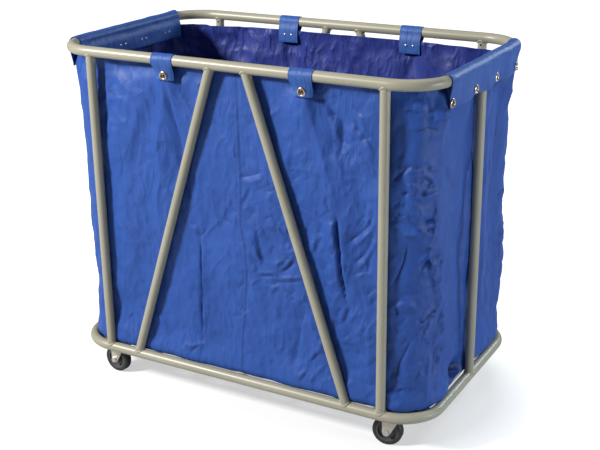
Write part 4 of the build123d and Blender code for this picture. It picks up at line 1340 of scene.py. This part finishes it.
def strapShape(co, seed):
    # Moves the tails of a straight band: the inner one onto the bag, the outer one in at its stud.
    drop = max(-co.z, 0.0)
    radius = rail["radius"] + strap["clear"]
    groove = sum(exp(-(((co.x - row) / strap["grooveWidth"]) ** 2)) for row in strapRows())
    groove *= strap["groove"]
    if co.y < 0 and drop > 0:
        co.y = -radius - (innerWall - radius) * fade(drop, 0.004, 0.020) + groove
        co.y += 0.0007 * noise.noise(Vector((co.x * 40, drop * 50, seed + 7)))
    elif drop > 0:
        edge = abs(co.x) / (strap["width"] / 2)
        pull = fade(drop, 0.002, strap["studDrop"])
        past = max(drop - strap["studDrop"], 0.0)
        co.y -= pull * strap["tuck"] + groove
        co.y += past * strap["kick"]
        co.y -= strap["fold"] * edge ** 3 * pull
        co.y += 0.0012 * noise.noise(Vector((co.x * 40, drop * 50, seed)))
        co.x *= 1 - strap["narrow"] * pull * edge
    else:
        co.y *= 1 - groove / radius
        co.z *= 1 - groove / radius
    return co


stitchRows = []


def makeStraps():
    for (side, end), x in strapXs.items():
        name = f"strap_{side}_{end}"
        band = bandOverRail(name + "_cloth", strap["width"], strap["columns"], strap)
        clothUv(band)
        seed = x * 31 + sides[side] * 3
        place = Matrix.Translation((x, sides[side] * rail["halfY"], rail["z"]))
        place = place @ Matrix.Rotation(0 if side == "back" else pi, 4, "Z")
        for vert in band.data.vertices:
            vert.co = strapShape(vert.co.copy(), seed)
        for offset in strapRows():
            path = bandPath(offset, strap, lambda co: strapShape(co, seed))
            stitchRows.append([(place @ point, place.to_3x3() @ out) for point, out in path])
        addStud(place, strapShape(Vector((0, railTop, -strap["studDrop"])), seed))
        for rivetX in (-rivet["apart"], rivet["apart"]):
            addRivet(place, strapShape(Vector((rivetX, -railTop, -strap["rivetDrop"])), seed))
        band.data.transform(place)
        thicken(band, strap["cloth"])
        smooth(band, 50)
        finished(band, cloths["strapCloth"])
        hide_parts(name)
    print("straps done")


def bandPath(x, look, shape):
    # Points and outward directions along a band, from its inner hem over the rail to its outer hem.
    radius = rail["radius"] + strap["clear"]
    inner = look["innerTail"] - stitch["in"]
    outer = look["tail"] - stitch["in"]
    count = stitch["steps"]
    flat = []
    for i in range(count + 1):
        flat.append(Vector((x, -radius, inner * i / count - inner)))
    for i in range(1, count):
        turn = pi - pi * i / count
        flat.append(Vector((x, radius * cos(turn), radius * sin(turn))))
    for i in range(count + 1):
        flat.append(Vector((x, radius, -outer * i / count)))
    points = [shape(p.copy()) for p in flat]
    path = []
    for i, point in enumerate(points):
        run = points[min(i + 1, len(points) - 1)] - points[max(i - 1, 0)]
        out = Vector((0, -run.z, run.y)).normalized()
        path.append((point + out * strap["cloth"], out))
    return path


def makeStitchPiece(name, rows):
    # One stitch, copied along every row.
    bpy.ops.mesh.primitive_uv_sphere_add(segments=6, ring_count=4, radius=0.5, rotation=(0, pi / 2, 0))
    one = added("stitch")
    one.scale = (stitch["width"], stitch["width"], stitch["length"])
    applyPlace(one)
    mesh = bmesh.new()
    count = 0
    for row in rows:
        points = [p for p, out in row]
        outs = [out for p, out in row]
        carried = stitch["pitch"] / 2
        for i in range(len(points) - 1):
            run = points[i + 1] - points[i]
            length = run.length
            if length < 1e-7:
                continue
            direction = run / length
            while carried < length:
                share = carried / length
                place = points[i] + run * share
                out = (outs[i] * (1 - share) + outs[i + 1] * share).normalized()
                side = direction.cross(out).normalized()
                turn = Matrix((direction, side, out)).transposed().to_4x4()
                copy = one.data.copy()
                copy.transform(Matrix.Translation(place - out * stitch["sink"]) @ turn)
                mesh.from_mesh(copy)
                bpy.data.meshes.remove(copy)
                count += 1
                carried += stitch["pitch"]
            carried -= length
    data = bpy.data.meshes.new(name)
    mesh.to_mesh(data)
    mesh.free()
    piece = bpy.data.objects.new(name, data)
    bpy.context.scene.collection.objects.link(piece)
    bpy.data.objects.remove(one)
    data.uv_layers.new(name="cloth")
    for face in data.polygons:
        face.use_smooth = True
    finished(piece, cloths["thread"])
    print(name, count, "stitches")


def flapShape(co, sign):
    # The flap's tails before it is bent round the rail's corners. co.x runs along the end rail.
    drop = max(-co.z, 0.0)
    radius = rail["radius"] + strap["clear"]
    along = co.x
    shift = flap["shift"]["right" if sign > 0 else "left"]
    tip = fade(abs(along - shift), flap["halfLength"] - 0.03, flap["halfLength"])
    if co.y < 0 and drop > 0:
        co.y = -radius - (innerWall - radius) * fade(drop, 0.004, 0.020)
        co.y += 0.0016 * noise.noise(Vector((along * 22, drop * 30, sign * 5)))
    elif drop > 0:
        between = 0.5 - 0.5 * cos(2 * pi * (along / flapPitch - 0.5))  # 0 at a stud, 1 halfway
        between = between if abs(along) < abs(flapSnapYs[0]) else 0.0
        pull = fade(drop, 0.002, flap["studDrop"]) * flap["tuck"]
        co.y -= pull * (1 - 0.8 * between)
        co.y += flap["wave"] * between * fade(drop, 0.012, flap["tail"])
        co.y += 0.0022 * noise.noise(Vector((along * 26, drop * 34, sign * 9)))
        co.y += flap["curl"] * tip * fade(drop, 0.028, flap["tail"]) * (1 if along > 0 else -0.6)
        co.z -= 0.0025 * between * fade(drop, 0.03, flap["tail"]) + 0.0015 * noise.noise(
            Vector((along * 40, 3.1, sign * 4))
        ) * fade(drop, 0.02, flap["tail"])
        co.z -= flap["droop"] * tip * fade(drop, 0.02, flap["tail"])
    if co.z > 0 or co.y > 0:
        loose = 0.0010 * (1 + noise.noise(Vector((along * 24, co.z * 60, sign * 2))))
        loose += flap["lift"] * tip * (1 if along > 0 else 0.2) * fade(co.y, -0.01, 0.012)
        if co.z > 0:
            co.z += loose * co.z / radius
            co.y += loose * co.y / radius
        else:
            co.y += loose * fade(0.03 - drop, 0.0, 0.03)
    return co


def bendToEnd(co, sign):
    # Carries a point of a straight band, laid along X, onto the end rail and round its corners.
    # sign is 1 for the right end, and +Y of the straight band points outward from the rail.
    past = abs(co.x) - rail["cornerY"]
    if past <= 0:
        return Vector((sign * (rail["halfX"] + co.y), co.x, rail["z"] + co.z))
    turn = past / rail["bend"]
    reach = rail["bend"] + co.y
    side = 1 if co.x > 0 else -1
    x = rail["cornerX"] + reach * cos(turn)
    y = side * (rail["cornerY"] + reach * sin(turn))
    return Vector((sign * x, y, rail["z"] + co.z))


def endPlace(co, sign):
    # The place on a bent band, with its Y axis outward and its Z axis up.
    here = bendToEnd(co, sign)
    out = (bendToEnd(co + Vector((0, 0.001, 0)), sign) - here).normalized()
    side = out.cross(Vector((0, 0, 1)))
    return Matrix.Translation(here) @ Matrix((side, out, Vector((0, 0, 1)))).transposed().to_4x4()


def makeFlaps():
    for end, sign in ends.items():
        name = f"end_flap_{end}"
        band = bandOverRail(name + "_cloth", 2 * flap["halfLength"], flap["columns"], flap)
        clothUv(band)
        shift = flap["shift"][end]
        for vert in band.data.vertices:
            flat = vert.co + Vector((shift, 0, 0))
            vert.co = bendToEnd(flapShape(flat, sign), sign)
        faceOut(band)
        for along in flapSnapYs:
            spot = flapShape(Vector((along, railTop, -flap["studDrop"])), sign)
            addStud(endPlace(spot, sign), Vector((0, 0, 0)))
        for along in flapRivetYs:
            for offset in (-rivet["apart"], rivet["apart"]):
                spot = flapShape(Vector((along + offset, -railTop, -strap["rivetDrop"])), sign)
                addRivet(endPlace(spot, sign), Vector((0, 0, 0)))
        thicken(band, strap["cloth"])
        smooth(band, 50)
        finished(band, cloths["strapCloth"])
        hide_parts(name)
        reach = flap["halfLength"] - stitch["in"]
        steps = flap["stitchSteps"]
        for tail, rise in flap["stitchRows"]:
            bottom = rise - (flap["tail"] if tail > 0 else flap["innerTail"])
            row = []
            for i in range(steps + 1):
                along = shift - reach + 2 * reach * i / steps
                spot = flapShape(Vector((along, tail * railTop, bottom)), sign)
                spot.y += tail * strap["cloth"]
                out = endPlace(spot, sign).to_3x3() @ Vector((0, tail, 0))
                row.append((bendToEnd(spot, sign), out))
            stitchRows.append(row)
    print("flaps done")


def faceOut(band):
    # Turns a band's faces so that those over the rail look up.
    pick(band)
    over = [p for p in band.data.polygons if p.center.z > rail["z"] + rail["radius"] * 0.9]
    if over[0].normal.z < 0:
        band.data.flip_normals()


railTop = rail["radius"] + strap["clear"]
flapPitch = flapSnapYs[1] - flapSnapYs[0]
flapRivetYs = (-0.150, -0.045, 0.045, 0.150)
studPlaces = []
rivetPlaces = []


def addStud(place, spot):
    # A stud's cap stands on the outside of the outer tail, and its socket goes through to the back.
    lean = Matrix.Rotation(radians(snap["lean"]), 4, "X")
    studPlaces.append(place @ Matrix.Translation(spot + Vector((0, strap["cloth"], 0))) @ lean)


def addRivet(place, spot):
    rivetPlaces.append(place @ Matrix.Translation(spot + Vector((0, -strap["cloth"], 0))))


def turned(name, profile, segments):
    # A turned shape: a ring is added and extruded and resized along the profile of (radius, height).
    radius, height = profile[0]
    bpy.ops.mesh.primitive_circle_add(vertices=segments, radius=radius, location=(0, 0, height))
    piece = applyPlace(added(name))
    bpy.context.tool_settings.mesh_select_mode = (True, False, False)
    startEdit(piece)
    bpy.ops.mesh.select_all(action="SELECT")
    for nextRadius, nextHeight in profile[1:]:
        move = (0, 0, nextHeight - height)
        bpy.ops.mesh.extrude_region_move(TRANSFORM_OT_translate={"value": move})
        share = nextRadius / radius
        bpy.ops.transform.resize(value=(share, share, 1), center_override=(0, 0, nextHeight))
        radius, height = nextRadius, nextHeight
    bpy.ops.mesh.edge_face_add()
    bpy.ops.mesh.select_all(action="SELECT")
    bpy.ops.mesh.fill_holes(sides=segments)
    bpy.ops.mesh.normals_make_consistent(inside=False)
    stopEdit()
    return piece


def copiesOf(one, places, name):
    mesh = bmesh.new()
    for place in places:
        copy = one.data.copy()
        copy.transform(place)
        mesh.from_mesh(copy)
        bpy.data.meshes.remove(copy)
    data = bpy.data.meshes.new(name)
    mesh.to_mesh(data)
    mesh.free()
    piece = bpy.data.objects.new(name, data)
    bpy.context.scene.collection.objects.link(piece)
    bpy.data.objects.remove(one)
    return piece


def makeStuds():
    # Profiles are (radius, height) in millimetres from the cloth outward.
    rolledRing = ((5.2, -0.3), (8.2, -0.1), (8.9, 0.5), (8.9, 1.2), (8.3, 2.0), (7.3, 2.5), (6.3, 2.4),
                  (5.5, 1.8), (5.1, 1.0), (4.9, 0.4))
    dish = ((5.3, 0.3), (5.2, 0.9), (4.6, 1.0), (4.2, 0.75), (3.4, 0.7), (3.0, 1.1), (2.6, 1.6), (1.9, 1.8),
            (1.5, 1.5), (1.3, 0.8))
    socket = ((2.2, -4.6), (3.4, -4.5), (3.8, -3.8), (5.6, -3.4), (6.4, -2.6), (6.4, -1.7), (5.4, -1.45))
    head = ((3.4, -0.2), (3.6, 0.2), (3.3, 0.8), (2.4, 1.25), (1.2, 1.45), (0.4, 1.5))
    outward = Matrix.Rotation(-pi / 2, 4, "X")
    inward = Matrix.Rotation(pi / 2, 4, "X")
    jobs = (
        ("stud_rings", rolledRing, studPlaces, outward, "snapNickel", "snap_chrome", 28),
        ("stud_centres", dish, studPlaces, outward, "snapBrass", "snap_brass", 20),
        ("stud_sockets", socket, studPlaces, outward, "snapBrass", "snap_brass", 20),
        ("rivet_heads", head, rivetPlaces, inward, "zincPlate", "rivet_steel", 16),
    )
    for name, profile, places, turn, finish, slot, segments in jobs:
        size = rivet["size"] if profile is head else snap["size"]
        metres = [(radius * size / 1000, height / 1000) for radius, height in profile]
        one = turned("one", metres, segments)
        piece = copiesOf(one, [place @ turn for place in places], name)
        smooth(piece, 40)
        finished(piece, paints[finish])
    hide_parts("strap_snap_caps", "flap_snap_caps")
    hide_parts("strap_snap_sockets", "flap_snap_sockets")
    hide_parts("strap_rivets", "flap_rivets")
    print("studs and rivets done")


makeStraps()
makeFlaps()
makeStuds()
makeStitchPiece("strap_stitches", stitchRows)


view = {
    "place": (1.3317, -2.3316, 1.3911), "turn": 0.512, "down": 0.352, "roll": -0.012,
    "lens": 66.94, "sensor": 36.0,
}


def makeCamera():
    bpy.ops.object.camera_add(location=view["place"])
    camera = bpy.context.active_object
    camera.name = "camera"
    turn = Matrix.Rotation(view["turn"], 4, "Z") @ Matrix.Rotation(pi / 2 - view["down"], 4, "X")
    turn = turn @ Matrix.Rotation(view["roll"], 4, "Z")
    camera.matrix_world = Matrix.Translation(view["place"]) @ turn
    camera.data.lens = view["lens"]
    camera.data.sensor_width = view["sensor"]
    camera.data.sensor_fit = "HORIZONTAL"
    bpy.context.scene.camera = camera


lights = {  # place, what it is aimed at, size, power in watts, colour
    "key": ((-2.5, -2.95, 2.75), (0.0, 0.0, 0.45), 0.75, 290, (1.0, 0.985, 0.955)),
    "top": ((0.3, 0.4, 3.6), (0.0, 0.0, 0.3), 2.4, 28, (1.0, 1.0, 1.0)),
    "rim": ((1.75, 3.3, 2.3), (0.45, 0.0, 0.45), 0.9, 75, (0.80, 0.92, 1.0)),
    "fill": ((3.6, -0.1, 0.75), (0.45, 0.0, 0.45), 1.2, 60, (0.84, 0.92, 1.0)),
}


def makeLight(name, place, target, size, power, colour):
    bpy.ops.object.light_add(type="AREA", location=place)
    light = bpy.context.active_object
    light.name = name
    light.data.shape = "DISK"
    light.data.size = size
    light.data.energy = power
    light.data.color = colour
    aim = Vector(target) - Vector(place)
    light.matrix_world = Matrix.Translation(place) @ aim.to_track_quat("-Z", "Y").to_matrix().to_4x4()


stage = {
    "paper": (0.50, 0.50, 0.52), "glow": 0.50, "farGlow": 1.0,
    "pool": (0.54, 0.38), "farFrom": 1.42,  # half lengths of the dimmer pool, and the share where it ends
    "sky": (0.95, 0.97, 1.0), "world": 0.10, "size": 60,
}


def makeStage():
    bpy.ops.mesh.primitive_plane_add(size=stage["size"])
    floorPiece = added("studio_floor")
    startEdit(floorPiece)
    bpy.ops.mesh.subdivide(number_cuts=3)
    stopEdit()
    material, tree, shader = newMaterial("studioPaper")
    grain = useGroup(tree, grainGroup, Scale=30.0, Patch_Scale=0.6)
    paper = stage["paper"]
    colour = mixColour(tree, grain.outputs["Patches"], paper, tuple(c * 1.03 for c in paper))
    tree.links.new(colour, shader.inputs["Base Color"])
    shader.inputs["Roughness"].default_value = 0.9
    shader.inputs["Specular IOR Level"].default_value = 0.1
    # The paper has a painted glow for the camera's rays alone, weaker in a pool round the trolley and more
    # so far off, where it paints out the cast shadows; so it is white but lights nothing.
    place = addNode(tree, "ShaderNodeTexCoord")
    pool = addNode(tree, "ShaderNodeMapping", vector_type="TEXTURE")
    pool.inputs["Scale"].default_value = (*stage["pool"], 1.0)
    tree.links.new(place.outputs["Object"], pool.inputs["Vector"])
    away = addNode(tree, "ShaderNodeVectorMath", operation="LENGTH")
    tree.links.new(pool.outputs["Vector"], away.inputs[0])
    far = rampNode(tree, away.outputs["Value"], 1.0, stage["farFrom"])
    seen = addNode(tree, "ShaderNodeLightPath")
    bright = rampNode(tree, far, stage["glow"], stage["farGlow"], "To")
    strength = mathNode(tree, "MULTIPLY", bright, seen.outputs["Is Camera Ray"])
    glow = addNode(tree, "ShaderNodeEmission")
    tree.links.new(strength, glow.inputs["Strength"])
    total = addNode(tree, "ShaderNodeAddShader")
    output = tree.nodes["Material Output"]
    tree.links.new(shader.outputs[0], total.inputs[0])
    tree.links.new(glow.outputs[0], total.inputs[1])
    tree.links.new(total.outputs[0], output.inputs["Surface"])
    floorPiece.data.materials.append(material)
    world = bpy.data.worlds.new("studio")
    world.use_nodes = True
    back = world.node_tree.nodes["Background"]
    back.inputs["Color"].default_value = (*stage["sky"], 1)
    back.inputs["Strength"].default_value = stage["world"]
    bpy.context.scene.world = world
    for name, settings in lights.items():
        makeLight(name, *settings)
    bpy.context.scene.view_settings.view_transform = "Standard"
    print("stage set")


makeCamera()
makeStage()
